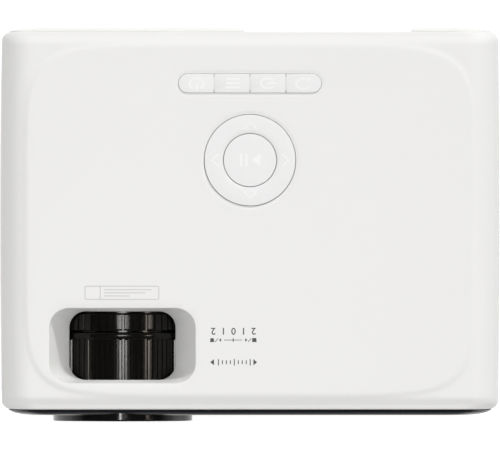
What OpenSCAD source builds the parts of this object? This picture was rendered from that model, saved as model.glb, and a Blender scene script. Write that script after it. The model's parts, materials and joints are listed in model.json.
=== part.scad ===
// Small LCD video projector with a built-in disc drive.
// X runs to the side with the ports, -Y to the lens, Z up. The origin is on the table, under the middle.

/* [Housing] */
// Width of the white sleeve at its widest
body_w = 230.4; // [226:0.2:246]
// Depth of the white sleeve
body_d = 173.6; // [170:0.2:186]
// Height of the housing above its underside
body_h = 94; // [92:0.5:104]
// Wall thickness of the housing
wall = 2.4; // [2:0.1:2.8]
// Radius that rounds the long edges of the sleeve
edge_r = 13; // [11:0.5:15]
// Plan radius of the four upright corners
corner_r = 4; // [2:0.5:6]
// How far the side walls bow out in plan
side_bow = 0.7; // [0.2:0.1:1.2]
// How far the side walls bulge at half height
side_bulge = 0.8; // [0.2:0.1:1.4]
// Height of the joint between the two housing halves above the underside
split_h = 42; // [40:1:44]
// Distance of the raised plateau from the sides
plateau_side = 12.5; // [11:0.5:15]
// Distance of the raised plateau from the front and rear edges
plateau_end = 6.5; // [5:0.5:8]
// Height of the soft step round the plateau
plateau_step = 0.5; // [0.3:0.1:0.8]
// How far the border falls from the plateau to the front and rear edges
border_fall = 1.2; // [0.8:0.1:1.6]
// How far the front panel stands out of the sleeve
panel_proud = 2.7; // [1.5:0.1:3.5]
// How far the rear panel stands out of the sleeve
rear_proud = 1.8; // [1.2:0.1:3]
// Depth that both panels reach into the sleeve
panel_grip = 3; // [2.5:0.5:4]
// Width of the recess in the rear panel
bay_w = 74; // [70:1:80]
// Distance of that recess's edge from the middle of the mains inlet
bay_side = 31; // [28:0.5:34]
// Depth of that recess behind the rear panel's face
bay_d = 5; // [4.5:0.1:6]

/* [Feet] */
// Height of the rubber feet
foot_h = 4; // [3.5:0.5:5]
// Diameter of the rubber feet
foot_d = 14; // [10:1:16]
// Diameter of the adjustable foot's screw
foot_screw_d = 8; // [6:0.5:9]
// How far the adjustable foot screws out
foot_travel = 12; // [6:1:12]
// Radius of the tripod socket's thread
tripod_r = 3.175; // [3:0.005:3.3]

/* [Lens] */
// Distance of the lens axis from the disc side
lens_side = 56.5; // [54:0.5:60]
// Depth of the lens axis below the top
lens_drop = 38; // [37:0.5:40]
// Diameter of the lens hood
hood_d = 64.3; // [60:0.1:65]
// How far the lens hood stands out of the sleeve
hood_proud = 5.6; // [4.5:0.1:7]
// Diameter of the two lens rings
ring_d = 61.6; // [60:0.2:62]
// Diameter of the lens barrel
barrel_d = 45.9; // [42:0.1:47]
// Length of the window over the rings
window_l = 31.5; // [28:0.5:33]
// Width of the window over the rings
window_w = 48.8; // [44:0.4:50]
// Distance of the window's front edge from the sleeve's front edge
window_front = 13.5; // [12.5:0.5:15]
// How far the window's side walls lean out
window_side_lean = 9.2; // [6:0.2:10]
// How far the window's front and rear walls lean out
window_end_lean = 1.5; // [0.8:0.1:2]
// Gap between the rings and the lower edge of the window's walls
window_ring_room = 1.5; // [1.2:0.1:2]
// Length of the keystone ring's ribbed part
keystone_l = 8.7; // [7:0.1:9]
// Gap between the two rings
ring_gap = 0.7; // [0.4:0.1:1.2]
// Smooth collar of the focus ring
collar_l = 3; // [2:0.1:4]
// Length of the focus ring
focus_l = 28.6; // [24:0.2:29]
// Ribs round the focus ring
focus_ribs = 72; // [60:1:80]
// Ribs round the keystone ring
keystone_ribs = 52; // [44:1:60]
// Depth of the grooves between the ribs
rib_depth = 0.6; // [0.3:0.1:0.8]
// Length of the lens barrel
barrel_l = 38; // [34:1:40]
// Eccentricity of the keystone ring's cam
cam_throw = 3.3; // [2:0.1:3.6]

/* [Light engine] */
// Outer width of the light engine
engine_w = 80; // [76:1:80]
// Length of the light engine's main chamber
engine_l = 36; // [34:1:38]
// Wall of the light engine
engine_wall = 2; // [1.6:0.1:2.4]
// Width of the LCD frame
lcd_w = 72; // [66:1:72]
// Height of the LCD frame
lcd_h = 48; // [44:1:48]
// Thickness of the LCD frame
lcd_t = 5; // [4:0.5:6]
// Width of the light tunnel
tunnel_w = 46; // [42:1:46]
// Length of the light tunnel
tunnel_l = 16; // [14:1:18]
// Number of heatsink fins
fin_count = 13; // [9:1:15]
// Length of the heatsink fins
fin_l = 38; // [30:1:40]
// Size of the fan
fan_w = 60; // [56:1:60]
// Thickness of the fan
fan_t = 15; // [12:1:16]
// Number of fan blades
blade_count = 7; // [5:1:9]

/* [Keys] */
// Width of the key row
key_row_w = 66; // [62:1:70]
// Depth of the key row
key_row_d = 9; // [8:0.2:10]
// Distance of the key row's middle from the rear edge
key_row_rear = 23.8; // [22:0.2:26]
// Distance of the round pad's middle from the rear edge
pad_rear = 59.1; // [56:0.2:62]
// Diameter of the four-way ring's opening
pad_d = 42.4; // [40:0.2:46]
// Diameter of the centre button's opening in the ring
ok_d = 24.8; // [22:0.2:26]
// How far keys stand above the cover
key_proud = 0.3; // [0:0.1:0.6]
// Travel of the keys
key_travel = 0.6; // [0.3:0.1:0.8]
// Thickness of the key flanges under the cover plate
flange_h = 1.1; // [0.9:0.1:1.3]
// Tilt of the four-way ring to each side in degrees
pad_tilt = 1.5; // [1:0.1:1.8]

/* [Disc drive] */
// Diameter of the disc
disc_d = 120; // [118:1:120]
// Height of the drive
drive_h = 13.5; // [13.5:0.1:13.8]
// Height of the drive above the case floor
drive_lift = 6.1; // [6:0.1:6.4]
// Sheet thickness of the drive
sheet = 0.8; // [0.6:0.1:0.9]
// Width of the disc tray
tray_w = 123.6; // [123:0.2:124]
// Travel of the disc tray
tray_travel = 115; // [100:1:116]
// Diameter of the spindle motor
motor_d = 22; // [18:1:24]
// Travel of the eject button
eject_travel = 1.2; // [0.6:0.1:1.4]

/* [Boards and sockets] */
// Thickness of the circuit boards
board_t = 1.6; // [1.2:0.1:2]
// Height of the main board above the joint of the housing
board_lift = 2; // [1.5:0.1:3]
// Length of the main board
board_l = 124; // [120:1:128]
// Width of the main board
board_w = 70; // [60:1:72]
// Diameter of the bores for audio plugs
plug_d = 3.6; // [3.5:0.1:3.7]
// Diameter of the speakers
speaker_d = 34; // [30:1:34]

/* [Clearances] */
// Gap between separate parts
gap = 0.3; // [0.25:0.05:0.35]
// Radial clearance of running fits
run = 0.05; // [0.03:0.01:0.08]

/* [Hidden] */
$fn = 48;
thin = 0.02;
eps = 0.5;

// Main levels and edges
under = foot_h;
floor_z = under + wall;
top_z = under + body_h;
split_z = under + split_h;
left_x = -body_w/2;
right_x = body_w/2;
front_y = -(body_d + hood_proud + rear_proud)/2 + hood_proud;
rear_y = front_y + body_d;
mid_y = (front_y + rear_y)/2;

// Sleeve
sleeve_h = body_h - plateau_step;
step_run = 1.4;
crease = 0.3;
rim_r = 0.7;
plateau_a = body_w/2 - plateau_side;
plateau_b = body_d/2 - plateau_end;
plateau_power = 7;
plateau_steps = 64;
plateau_rim = 3;
cavity_bulge = 0.9;
edge_steps = 6;
corner_steps = 3;
bow_steps = 6;
cavity_top = top_z - plateau_step - border_fall - wall;
plate_under = top_z - wall;

// Rounding of the two end panels: shares of how far they stand out, and the insets across and upwards there
panel_rounding = [[0.55, 2.4, 0.7], [0.86, 6.4, 1.7], [1, 11.5, 3.4]];
panel_rim = 0.3;
bay_box_y = rear_y - 9;

// Lens axis and the stack along it
lens_x = left_x + lens_side;
lens_z = top_z - lens_drop;
hood_r = hood_d/2;
hood_lip = 0.75;
hood_lip_t = 1.4;
hood_rim = 2.6;
hood_throat = 1.6;
ring_r = ring_d/2;
ring_wall = 3.8;
barrel_r = barrel_d/2;
barrel_run = run + 0.05;
mount_in_r = barrel_r + barrel_run;
mount_r = ring_r - ring_wall;
window_y0 = front_y + window_front;
window_y1 = window_y0 + window_l;
keystone_y1 = window_y1 - 0.2;
keystone_y0 = keystone_y1 - keystone_l;
neck_l = 3.5;
neck_in = 1.3;
neck_start = 0.6;
neck_y1 = keystone_y1 + neck_l;
focus_y1 = keystone_y0 - ring_gap;
focus_y0 = focus_y1 - focus_l;
focus_rim = 1;
focus_rib_share = 0.55;
keystone_rib_share = 0.78;
clip_t = 1.2;
clip_groove = 1;
clip_rim = 1.8;
clip_mouth = 10;
lens_steps = 8;
clip_y0 = focus_y0 - gap - clip_t;
mount_y0 = clip_y0 - 1.9;
mount_y1 = neck_y1 + 0.5;
mount_flange_t = 4;
mount_flange_w = 56;
engine_y0 = mount_y1 + mount_flange_t;
barrel_y0 = mount_y0 - 2;
barrel_y1 = barrel_y0 + barrel_l;
barrel_wall = 5;
lens_seat_l = 5;
front_rim = 2.4;
rear_rim = 4;
front_sag = 1.9;
rear_sag = 1.6;
window_low_r = 7.5;
window_high_r = 9.2;
window_skirt = 1.5;
window_skirt_room = 0.8;
window_corner_steps = 5;
window_wall_steps = 6;
cam_wall = 1.3;
cam_r = mount_r + run + cam_throw + cam_wall;
cam_top = lens_z + sqrt(cam_r*cam_r - cam_throw*cam_throw);
cam_t = 1.1;

// Disc drive
drive_z = floor_z + drive_lift;
drive_top = drive_z + drive_h;
tray_y0 = mid_y - tray_w/2;
tray_y1 = mid_y + tray_w/2;
runner_t = 1.8;
chassis_in = tray_w/2 + gap + runner_t + gap;
chassis_out = chassis_in + sheet;
runner_h = 8.2;
runner_inset = 2;
runner_spare = 4.8;
bezel_x1 = left_x + 4.3;
tray_x0 = bezel_x1;
chassis_x0 = bezel_x1 + gap;
disc_room = 0.6;
tray_front_rim = 1.4;
tray_rear_rim = 1.5;
tray_h = 8.9;
well_r = disc_d/2 + disc_room;
disc_x = tray_x0 + tray_front_rim + well_r;
tray_x1 = disc_x + well_r + tray_rear_rim;
chassis_x1 = tray_x1 + 2.2 + sheet;
tray_z0 = drive_z + sheet + gap;
tray_z1 = tray_z0 + tray_h;
well_z = tray_z0 + 5.6;
well_floor = 1.4;
pocket_z = well_z - well_floor;
slot_z0 = drive_z - gap - 0.3;
slot_z1 = drive_top + gap;
bezel_clear = 0.3;
bezel_w = chassis_out*2 + 2;
bezel_margin = 0.2;
bezel_steps = 6;
mouth_depth = 12;
finger_r = 17;
pin_hole_r = 0.7;
pin_hole_y = 11;
eject_w = 10;
eject_h = 3.2;
eject_z = drive_z + drive_h/2;
eject_y = mid_y - 42;
rod_gap = 17;
rod_r = 1;
rod_z = tray_z0 + 2.2;
screw_y = mid_y + 24;
rib_x = disc_x + motor_d/2 + 1.2;
rib_t = 1.2;
motor_x0 = rib_x + rib_t + 0.2;
motor_pocket_w = 28;
pocket_y0 = mid_y - 21;
pocket_y1 = mid_y + 29;
hub_hole_r = 9.2;
hub_disc_r = hub_hole_r - 0.4;
hub_rise = 0.8;
cone_h = 2;
cone_r0 = 7.4;
cone_r1 = 6.6;
shaft_r = 1.2;
lead_r = 1.1;
pocket_x1 = tray_x1 - 1.5;
slot_x0 = disc_x + 14;
slot_x1 = disc_x + disc_d/2 - 1;
slot_w = 24;
pickup_w = 17;
pickup_x = disc_x + 25;
sled_half = 20;
sled_lift = 0.2;
lens_stem_r = 4.5;
arm_x0 = pickup_x + 1;
arm_x1 = pickup_x + 7;
sled_motor_l = 8.6;
sled_motor_w = 7.2;
sled_motor_bore = 5;

// Frame plate and light engine
frame_z0 = drive_top + 0.4;
frame_t = 2;
frame_z1 = frame_z0 + frame_t;
lcd_head = 4;
engine_z1 = lens_z + lcd_h/2 + lcd_head;
engine_y1 = engine_y0 + engine_l;
lcd_y = engine_y0 + engine_l/2;
tunnel_y1 = engine_y1 + tunnel_l;
fresnel_t = 2;
fresnel_gap = 9.5;
lcd_rim = 4;
lcd_lip = 2;
lcd_glass_w = lcd_w - 2*lcd_rim;
lcd_glass_h = lcd_h - 2*lcd_rim;
lcd_glass_t = 2;
lcd_seat = 1.2;
condenser_l = 8;
condenser_sag = 3;
led_t = 2;
emitter_half = 8;
emitter_h = 1.2;
sink_base = 5;
sink_h = 54;
fin_t = 1.4;
sink_y0 = tunnel_y1 + gap + led_t;
pivot_r = 1.5;
fan_x = lens_x - 7;
fan_z = frame_z1 + gap + fan_w/2;
fan_y1 = rear_y - 4.7;
fan_y0 = fan_y1 - fan_t;
fan_r = fan_w/2 - 2;
hub_r = 11;
spider_t = 2;
spider_w = 3;
fan_hole_in = 5;
fan_hole_r = 2.1;
fan_shaft_r = 1.5;
fan_shaft_l = 7;
blade_t = 1.3;
blade_lean = 38;
arm_w = 4;
arm_t = 1.5;
arm_room = 1;
arm_swing = 5.5;
cam_gap = 0.55;
arm_z = cam_top + cam_gap;
plate_x0 = lens_x - engine_w/2 - 0.2;
plate_x1 = chassis_x1 + 1;
plate_y0 = front_y + 7;
plate_y1 = rear_y - 5.8;
leg_w = 6;
leg_xs = [plate_x0 + 12, plate_x1 - 8];
leg_ys = [plate_y0 + 3, plate_y1 - 9];

// Keys
key_row_y = rear_y - key_row_rear;
pad_y = rear_y - pad_rear;
key_top = top_z + key_proud;
flange_z = plate_under - gap;
board_z = top_z - 14.4;
board_top = board_z + board_t;
switch_w = 6;
switch_h = 3.5;
plunger_h = 1.5;
plunger_top = board_top + switch_h + plunger_h;
key_stem_z = plunger_top + key_travel + gap;
key_pitch = key_row_w/4;
pad_tilt_room = 1.15;
pad_flange_z1 = plate_under - pad_tilt_room;
pad_flange_t = 1.1;
pad_z0 = pad_flange_z1 - pad_flange_t;
pad_switch_r = 19.3;
gimbal_in = ok_d/2 + 1.1;
gimbal_out = gimbal_in + 3.3;
gimbal_z1 = pad_z0 - 0.9;
gimbal_z0 = gimbal_z1 - 1.2;
nub_r = (gimbal_in + gimbal_out)/2;
nub_h = 0.6;
pad_press_z = plunger_top + pad_switch_r*sin(pad_tilt) + gap;
keypad_hole_x = key_row_w/2 - 2;
keypad_rim = 3.5;
keypad_x = keypad_hole_x + keypad_rim;
sink_gap = 0.7;
sink_w = 2*(-keypad_x - sink_gap - lens_x);
key_stem_r = 1.6;
key_flange_reach = 1;
key_flange_in = 1.2;
nub_w = 1;
keypad_y0 = engine_y1 + 0.7;
keypad_y1 = key_row_y + key_row_d/2 + 8.4;

// Right side: main board and sockets
main_z0 = split_z + board_lift;
main_z1 = main_z0 + board_t;
main_x1 = right_x - 4;
main_x0 = main_x1 - board_w;
main_y0 = mid_y - board_l/2 - 5;
main_y1 = main_y0 + board_l;
socket_x = right_x - 1.2;
ir_y = rear_y - 38.5;
card_y = rear_y - 55.2;
usb_y = rear_y - 75;
hdmi_a_y = rear_y - 96;
hdmi_b_y = rear_y - 115;
jack_a_y = rear_y - 129.8;
jack_b_y = rear_y - 139.5;
usb_w = 13.3;
usb_h = 6;
hdmi_w = 15;
hdmi_h = 5.6;
card_w = 11.4;
card_h = 2.4;
jack_r = 3.65;
ir_r = 3;
socket_l = 13;
port_reach = 4;
socket_skin = 0.4;
chip = 18;
chip_h = 6;
chip_x = main_x0 + 16;
coil_r = 3.2;
coil_h = 9;

// Rear bay
inlet_w = 23;
inlet_gap = 1.3;
inlet_x = plate_x1 + inlet_gap + inlet_w/2;
bay_x0 = inlet_x - bay_side;
bay_x1 = bay_x0 + bay_w;
bay_y = rear_y + rear_proud - bay_d;
bay_lean = 2.3;
switch_x = inlet_x + 25;
bay_z = under + 24;
inlet_h = 13;
inlet_l = 19;
inlet_side_rim = 2;
inlet_end_rim = 1.5;
inlet_flange_t = 2.5;
inlet_bore = 12;
inlet_mouth_w = 15.6;
inlet_mouth_h = 7.8;
pin_r = 1.1;
pin_x = 4.3;
rocker_w = 19;
rocker_h = 13;
rocker_tip = 9;
rocker_axis_y = bay_y - 4;
rocker_pin_r = 1;
switch_clear = 1;
switch_wall = 0.7;
switch_rim = 2.2;
switch_rim_t = 1.4;
switch_l = 10;
power_z = floor_z + 6;
power_x0 = chassis_x1 + 5;
power_x1 = right_x - 15;
power_front = 12;
power_rear = 46;
power_y0 = mid_y - power_front;
power_y1 = mid_y + power_rear;

// Bosses, feet, speakers
boss_r = 4;
boss_side = 11.2;
boss_front = 9;
boss_rear = 8.7;
boss_x = body_w/2 - boss_side;
boss_y0 = front_y + boss_front;
boss_y1 = rear_y - boss_rear;
screw_r = 1.5;
foot_side = 19;
foot_end = 20;
foot_x = body_w/2 - foot_side;
foot_y = body_d/2 - foot_end;
foot_boss_wall = 3;
foot_boss_r = foot_screw_d/2 + foot_boss_wall;
foot_leg_room = 2.2;
screw_foot_x = leg_xs[1] - foot_leg_room - foot_boss_r;
screw_foot_y = front_y + 13;
foot_pad_top = under - 0.6;
foot_pad_r = 9.4;
foot_pad_lift = 0.2;
foot_screw_grip = 8.5;
foot_screw_z0 = foot_pad_top + 0.1;
foot_screw_z1 = foot_screw_z0 + foot_travel + foot_screw_grip;
foot_boss_z = foot_screw_z1 - 2;
tripod_l = 7.6;
tripod_out_r = 5.5;
tripod_boss_r = 8;
board_post_r = 3;
screw_hole_r = screw_r + 0.1;
hole_spare = 1;
head_r = 2.7;
head_t = 1.8;
head_sink = 2.2;
case_bite = 12;
board_bite = 6;
power_bite = 4;
case_posts = corners([-boss_x, boss_x], [boss_y0, boss_y1]);
drive_post_y = 48;
drive_posts = corners([chassis_x0 + 12, chassis_x1 - 8], [mid_y - drive_post_y, mid_y + drive_post_y]);
main_posts = [
    [main_x0 + 5, mid_y - 23], [main_x1 - 15, mid_y - 23],
    [main_x0 + 5, main_y1 - 5], [main_x1 - 6, main_y1 - 5], [main_x0 + 22.5, main_y0 + 5]];
power_posts = corners([power_x0 + 4, power_x1 - 4], [power_y0 + 4, power_y1 - 4]);
keypad_posts = corners([-keypad_hole_x, keypad_hole_x], [keypad_y0 + keypad_rim, keypad_y1 - keypad_rim]);
speaker_front = 40.9;
speaker_pitch = 39;
speaker_y = front_y + speaker_front;
speaker_x = [main_x0 + 3, main_x0 + 3 + speaker_pitch];
speaker_h = 13;
magnet_r = 12;
coil_cap_r = 8;
grille_pitch = 4;
grille_slot = 2;
grille_rim = 4;
grille_side = 3;
vent_pitch = 3.6;
vent_slot = 2;
vent_side = 7;

function corners(xs, ys) = [for (x = xs) for (y = ys) [x, y]];

// ---- Helpers ----

// Box between two opposite corners
module box(lo, hi) {
    translate(lo) cube(hi - lo);
}

// Upright cylinder
module post(x, y, z0, z1, r) {
    translate([x, y, z0]) cylinder(h = z1 - z0, r = r);
}

// Cylinder along X
module rod_x(x0, x1, y, z, r) {
    translate([x0, y, z]) rotate([0, 90, 0]) cylinder(h = x1 - x0, r = r);
}

// Cylinder along Y
module rod_y(x, z, y0, y1, r) {
    translate([x, y1, z]) rotate([90, 0, 0]) cylinder(h = y1 - y0, r = r);
}

// Ring along Y: a cylinder with a bore
module tube_y(x, z, y0, y1, r_out, r_in) {
    difference() {
        rod_y(x, z, y0, y1, r_out);
        rod_y(x, z, y0 - eps, y1 + eps, r_in);
    }
}

// Upright ring
module collar(x, y, z0, z1, r_out, r_in) {
    difference() {
        post(x, y, z0, z1, r_out);
        post(x, y, z0 - eps, z1 + eps, r_in);
    }
}

// Pill-shaped plate, w along X and d along Y, with full round ends
module pill(x, y, z0, z1, w, d) {
    straight = (w - d)/2;
    box([x - straight, y - d/2, z0], [x + straight, y + d/2, z1]);
    for (side = [-1, 1]) post(x + side*straight, y, z0, z1, d/2);
}

// ---- Form of the sleeve ----

// How far the rounding of the long edges draws the side in, at a height above the underside
function edge_in(t) = let (u = min(t, sleeve_h - t))
    u >= edge_r ? 0 : edge_r - sqrt(max(0, edge_r*edge_r - (edge_r - u)*(edge_r - u)));

// How far the side walls draw in towards their top and bottom, at a share of half the height
function bulge_in(share) = side_bulge*pow(share, 2);

// Half width of the sleeve's cross-section at a height above the underside
function half_w(t) = body_w/2 - bulge_in(2*t/sleeve_h - 1) - edge_in(t);

function edge_drop(i) = edge_r*(1 - sin(90*i/edge_steps));

// Heights above the underside at which the cross-section has its corners
levels = concat(
    [for (i = [edge_steps : -1 : 0]) edge_drop(i)],
    [for (share = [0.3, 0.5, 0.7]) sleeve_h*share],
    [for (i = [0 : edge_steps]) sleeve_h - edge_drop(i)]);

// Cross-section of the closed sleeve, seen along Y
function section() = concat(
    [for (t = levels) [half_w(t), under + t]],
    [for (i = [len(levels) - 1 : -1 : 0]) [-half_w(levels[i]), under + levels[i]]]);

function corner_arc(x, y, a0) =
    [for (i = [0 : corner_steps]) let (a = a0 + 90*i/corner_steps)
        [x + corner_r*cos(a), y + corner_r*sin(a)]];

// Outline of the sleeve from above: rounded corners and bowed sides
function plan() = let (
        w = body_w/2 - side_bow, x = w - corner_r,
        y0 = front_y + corner_r, y1 = rear_y - corner_r, reach = y1 - y0)
    concat(
        corner_arc(x, y1, 0),
        corner_arc(-x, y1, 90),
        [for (k = [1 : bow_steps - 1]) let (s = k/bow_steps) [-w - side_bow*4*s*(1 - s), y1 - reach*s]],
        corner_arc(-x, y0, 180),
        corner_arc(x, y0, 270),
        [for (k = [1 : bow_steps - 1]) let (s = k/bow_steps) [w + side_bow*4*s*(1 - s), y0 + reach*s]]);

// Side view of the sleeve: softened rims, and the top falling to the front and rear edges
function profile() = let (
        top = under + sleeve_h,
        fall = top - border_fall,
        run_in = plateau_end - step_run - crease)
    [[front_y + rim_r, under], [rear_y - rim_r, under], [rear_y, under + rim_r],
     [rear_y, fall - rim_r], [rear_y - rim_r, fall], [rear_y - run_in, top],
     [front_y + run_in, top], [front_y + rim_r, fall], [front_y, fall - rim_r], [front_y, under + rim_r]];

function bend(v) = sign(v)*pow(abs(v), 2/plateau_power);

// Squircle outline of the plateau, grown by a margin
function squircle(grow) =
    [for (i = [0 : plateau_steps - 1]) let (a = 360*(i + 0.5)/plateau_steps)
        [(plateau_a + grow)*bend(cos(a)), mid_y + (plateau_b + grow)*bend(sin(a))]];

// Solid between two outlines with the same number of points
module frustum(low, z0, high, z1) {
    n = len(low);
    polyhedron(
        points = concat([for (p = low) [p[0], p[1], z0]], [for (p = high) [p[0], p[1], z1]]),
        faces = concat(
            [[for (i = [0 : n - 1]) i]],
            [[for (i = [n - 1 : -1 : 0]) n + i]],
            [for (i = [0 : n - 1]) [i, n + i, n + (i + 1)%n]],
            [for (i = [0 : n - 1]) [i, n + (i + 1)%n, (i + 1)%n]]));
}

// Outer form of the closed sleeve
module sleeve_form() {
    intersection() {
        translate([0, rear_y + eps, 0]) rotate([90, 0, 0]) linear_extrude(body_d + 2*eps) polygon(section());
        translate([0, 0, under - eps]) linear_extrude(body_h) polygon(plan());
        translate([left_x - eps, 0, 0]) rotate([90, 0, 90]) linear_extrude(body_w + 2*eps) polygon(profile());
    }
    frustum(squircle(2*step_run), top_z - 2*plateau_step, squircle(0), top_z);
}

// Half of the cross-section of the space inside the sleeve, drawn in by dx and dz
function cavity_side(dx, dz) = let (zc = (floor_z + cavity_top)/2, hz = (cavity_top - floor_z)/2)
    [for (i = [-edge_steps : edge_steps]) let (
            a = 90*abs(i)/edge_steps,
            r = edge_r - wall,
            z = hz - r + r*sin(a),
            x = body_w/2 - side_bow - wall - cavity_bulge*bulge_in(z/hz) - r*(1 - cos(a)))
        [x - dx, zc + sign(i)*z*(hz - dz)/hz]];

function cavity_section(dx, dz) = let (half = cavity_side(dx, dz), last = len(half) - 1)
    concat(half, [for (i = [last : -1 : 0]) [-half[i][0], half[i][1]]]);

// Prism along Y with the section of the sleeve's inside
module cavity_prism(y0, y1, dx, dz) {
    translate([0, y1, 0]) rotate([90, 0, 0])
        linear_extrude(y1 - y0) polygon(cavity_section(dx, dz));
}

module sleeve_shell() {
    difference() {
        sleeve_form();
        cavity_prism(front_y - eps, rear_y + eps, 0, 0);
        translate([0, 0, split_z]) linear_extrude(plate_under - split_z) polygon(squircle(-plateau_rim));
    }
}

// ---- Housing ----

// Lower edge of the window's recess at a distance from the lens axis: it follows the rings
function window_low(x) = lens_z + sqrt(pow(ring_r + window_ring_room, 2) - x*x);

// Outline of the window, from its right rear corner on: half width w, grown lengthways, corner radius r
function window_outline(w, grow_y, r) = let (
        x = w - r, y0 = window_y0 - grow_y + r, y1 = window_y1 + grow_y - r,
        mid = [[x, y1, 0], [-x, y1, 90], [-x, y0, 180], [x, y0, 270]])
    [for (k = [0 : 3])
        each concat(
            [for (i = [0 : window_corner_steps]) let (a = mid[k][2] + 90*i/window_corner_steps)
                [mid[k][0] + r*cos(a), mid[k][1] + r*sin(a)]],
            k%2 == 1 ? [] : [for (i = [1 : window_wall_steps - 1])
                [mid[k][0]*(1 - 2*i/window_wall_steps), mid[k][1] + (k == 0 ? r : -r)]])];

// Recess over the lens rings, open below: its walls run down to the rings and lean out to the top
module window_recess(grow) {
    high = window_outline(window_w/2 + window_side_lean + grow, window_end_lean + grow, window_high_r);
    low = window_outline(window_w/2 + grow, grow, window_low_r);
    n = len(low);
    loops = concat(
        [for (p = low) [lens_x + p[0], p[1], lens_z + ring_r/2]],
        [for (p = low) [lens_x + p[0], p[1], window_low(p[0])]],
        [for (p = high) [lens_x + p[0], p[1], top_z + thin]]);
    polyhedron(points = loops, faces = concat(
        [[for (i = [0 : n - 1]) i]],
        [[for (i = [n - 1 : -1 : 0]) 2*n + i]],
        [for (k = [0, n]) for (i = [0 : n - 1]) [k + i, k + n + i, k + n + (i + 1)%n]],
        [for (k = [0, n]) for (i = [0 : n - 1]) [k + i, k + n + (i + 1)%n, k + (i + 1)%n]]));
}

// Walls of the recess under the cover plate, clear of the rings and of the LCD frame's arm
module window_walls() {
    arm_half = arm_w/2 + arm_room;
    difference() {
        window_recess(window_skirt);
        box([left_x, front_y, plate_under + eps], [0, rear_y, top_z + 1]);
        rod_y(lens_x, lens_z, front_y, rear_y, ring_r + window_skirt_room, $fn = 96);
        box([lens_x - arm_half, window_y1 - window_skirt, lens_z],
            [lens_x + arm_half, window_y1 + 2*window_skirt, arm_z + arm_t]);
    }
}

module port_cut(y, w, h) {
    box([socket_x - port_reach, y - w/2 - gap, main_z1 - gap],
        [right_x + eps, y + w/2 + gap, main_z1 + h + gap]);
}

module port_hole(y, r) {
    rod_x(socket_x - port_reach, right_x + eps, y, main_z1 + r, r + gap);
}

module top_cover() color("white") {
    difference() {
        union() {
            intersection() {
                sleeve_shell();
                box([left_x - eps, front_y - eps, split_z], [right_x + eps, rear_y + eps, top_z + eps]);
            }
            window_walls();
            for (p = case_posts) post(p[0], p[1], split_z, cavity_top + 0.1, boss_r);
            for (p = keypad_posts) post(p[0], p[1], board_top, plate_under + eps, board_post_r);
        }
        window_recess(0);
        pill(0, key_row_y, plate_under - eps, top_z + eps, key_row_w, key_row_d);
        post(0, pad_y, plate_under - eps, top_z + eps, pad_d/2);
        port_cut(usb_y, usb_w, usb_h);
        port_cut(hdmi_a_y, hdmi_w, hdmi_h);
        port_cut(hdmi_b_y, hdmi_w, hdmi_h);
        port_cut(card_y, card_w, card_h);
        port_hole(jack_a_y, jack_r);
        port_hole(jack_b_y, jack_r);
        port_hole(ir_y, ir_r);
        for (p = case_posts) post(p[0], p[1], split_z - eps, split_z + case_bite + hole_spare, screw_hole_r);
        for (p = keypad_posts) {
            post(p[0], p[1], board_top - eps, board_top + board_bite + hole_spare, screw_hole_r);
        }
    }
}

module bottom_case() color("white") {
    difference() {
        union() {
            intersection() {
                sleeve_shell();
                box([left_x - eps, front_y - eps, under - eps], [right_x + eps, rear_y + eps, split_z]);
            }
            for (p = case_posts) post(p[0], p[1], floor_z - eps, split_z, boss_r);
            for (p = drive_posts) post(p[0], p[1], floor_z - eps, drive_z, boss_r);
            for (p = main_posts) post(p[0], p[1], floor_z - eps, main_z0, board_post_r);
            for (p = power_posts) post(p[0], p[1], floor_z - eps, power_z, board_post_r);
            post(0, mid_y, floor_z - eps, drive_z - gap, tripod_boss_r);
            post(screw_foot_x, screw_foot_y, floor_z - eps, foot_boss_z, foot_boss_r);
        }
        box([left_x - eps, mid_y - bezel_w/2 - bezel_clear, slot_z0 - bezel_clear],
            [left_x + mouth_depth, mid_y + bezel_w/2 + bezel_clear, slot_z1 + bezel_clear]);
        for (p = concat(case_posts, drive_posts)) {
            post(p[0], p[1], under - eps, split_z + eps, screw_hole_r);
            post(p[0], p[1], under - eps, under + head_sink, head_r + gap);
        }
        for (p = main_posts) post(p[0], p[1], main_z0 - board_bite - hole_spare, main_z0 + eps, screw_hole_r);
        for (p = power_posts) post(p[0], p[1], power_z - power_bite - gap, power_z + eps, screw_hole_r);
        post(0, mid_y, under - eps, under + tripod_l, tripod_out_r + run);
        post(screw_foot_x, screw_foot_y, under - eps, foot_boss_z + eps, foot_screw_d/2 + run);
        for (x = speaker_x) {
            for (i = [-grille_side : grille_side]) {
                half = sqrt(pow(speaker_d/2 - grille_rim, 2) - pow(grille_pitch*i, 2));
                at = x + grille_pitch*i;
                box([at - grille_slot/2, speaker_y - half, under - eps],
                    [at + grille_slot/2, speaker_y + half, floor_z + eps]);
            }
        }
    }
}

// Raised panel in one end of the sleeve: side is -1 at the front and 1 at the rear
module end_panel_form(side, edge_y, proud) {
    rounding = [for (r = panel_rounding) [proud*r[0], r[1], r[2]]];
    hull() {
        for (cut = concat([[-panel_grip, 0, 0], [panel_rim, 0, 0]], rounding)) {
            y = edge_y + side*cut[0];
            cavity_prism(y - thin/2 - side*thin/2, y + thin/2 - side*thin/2, gap + cut[1], gap + cut[2]);
        }
    }
}

module front_panel() color("#161719") {
    inner_y = front_y - panel_proud + wall;
    difference() {
        end_panel_form(-1, front_y, panel_proud);
        cavity_prism(inner_y, front_y + panel_grip + eps, gap + wall, gap + wall);
        rod_y(lens_x, lens_z, inner_y - wall - eps, front_y + panel_grip + eps, hood_r + gap);
        rod_y(lens_x, lens_z, inner_y, front_y + panel_grip + eps, hood_r + hood_lip + gap);
    }
}

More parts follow.
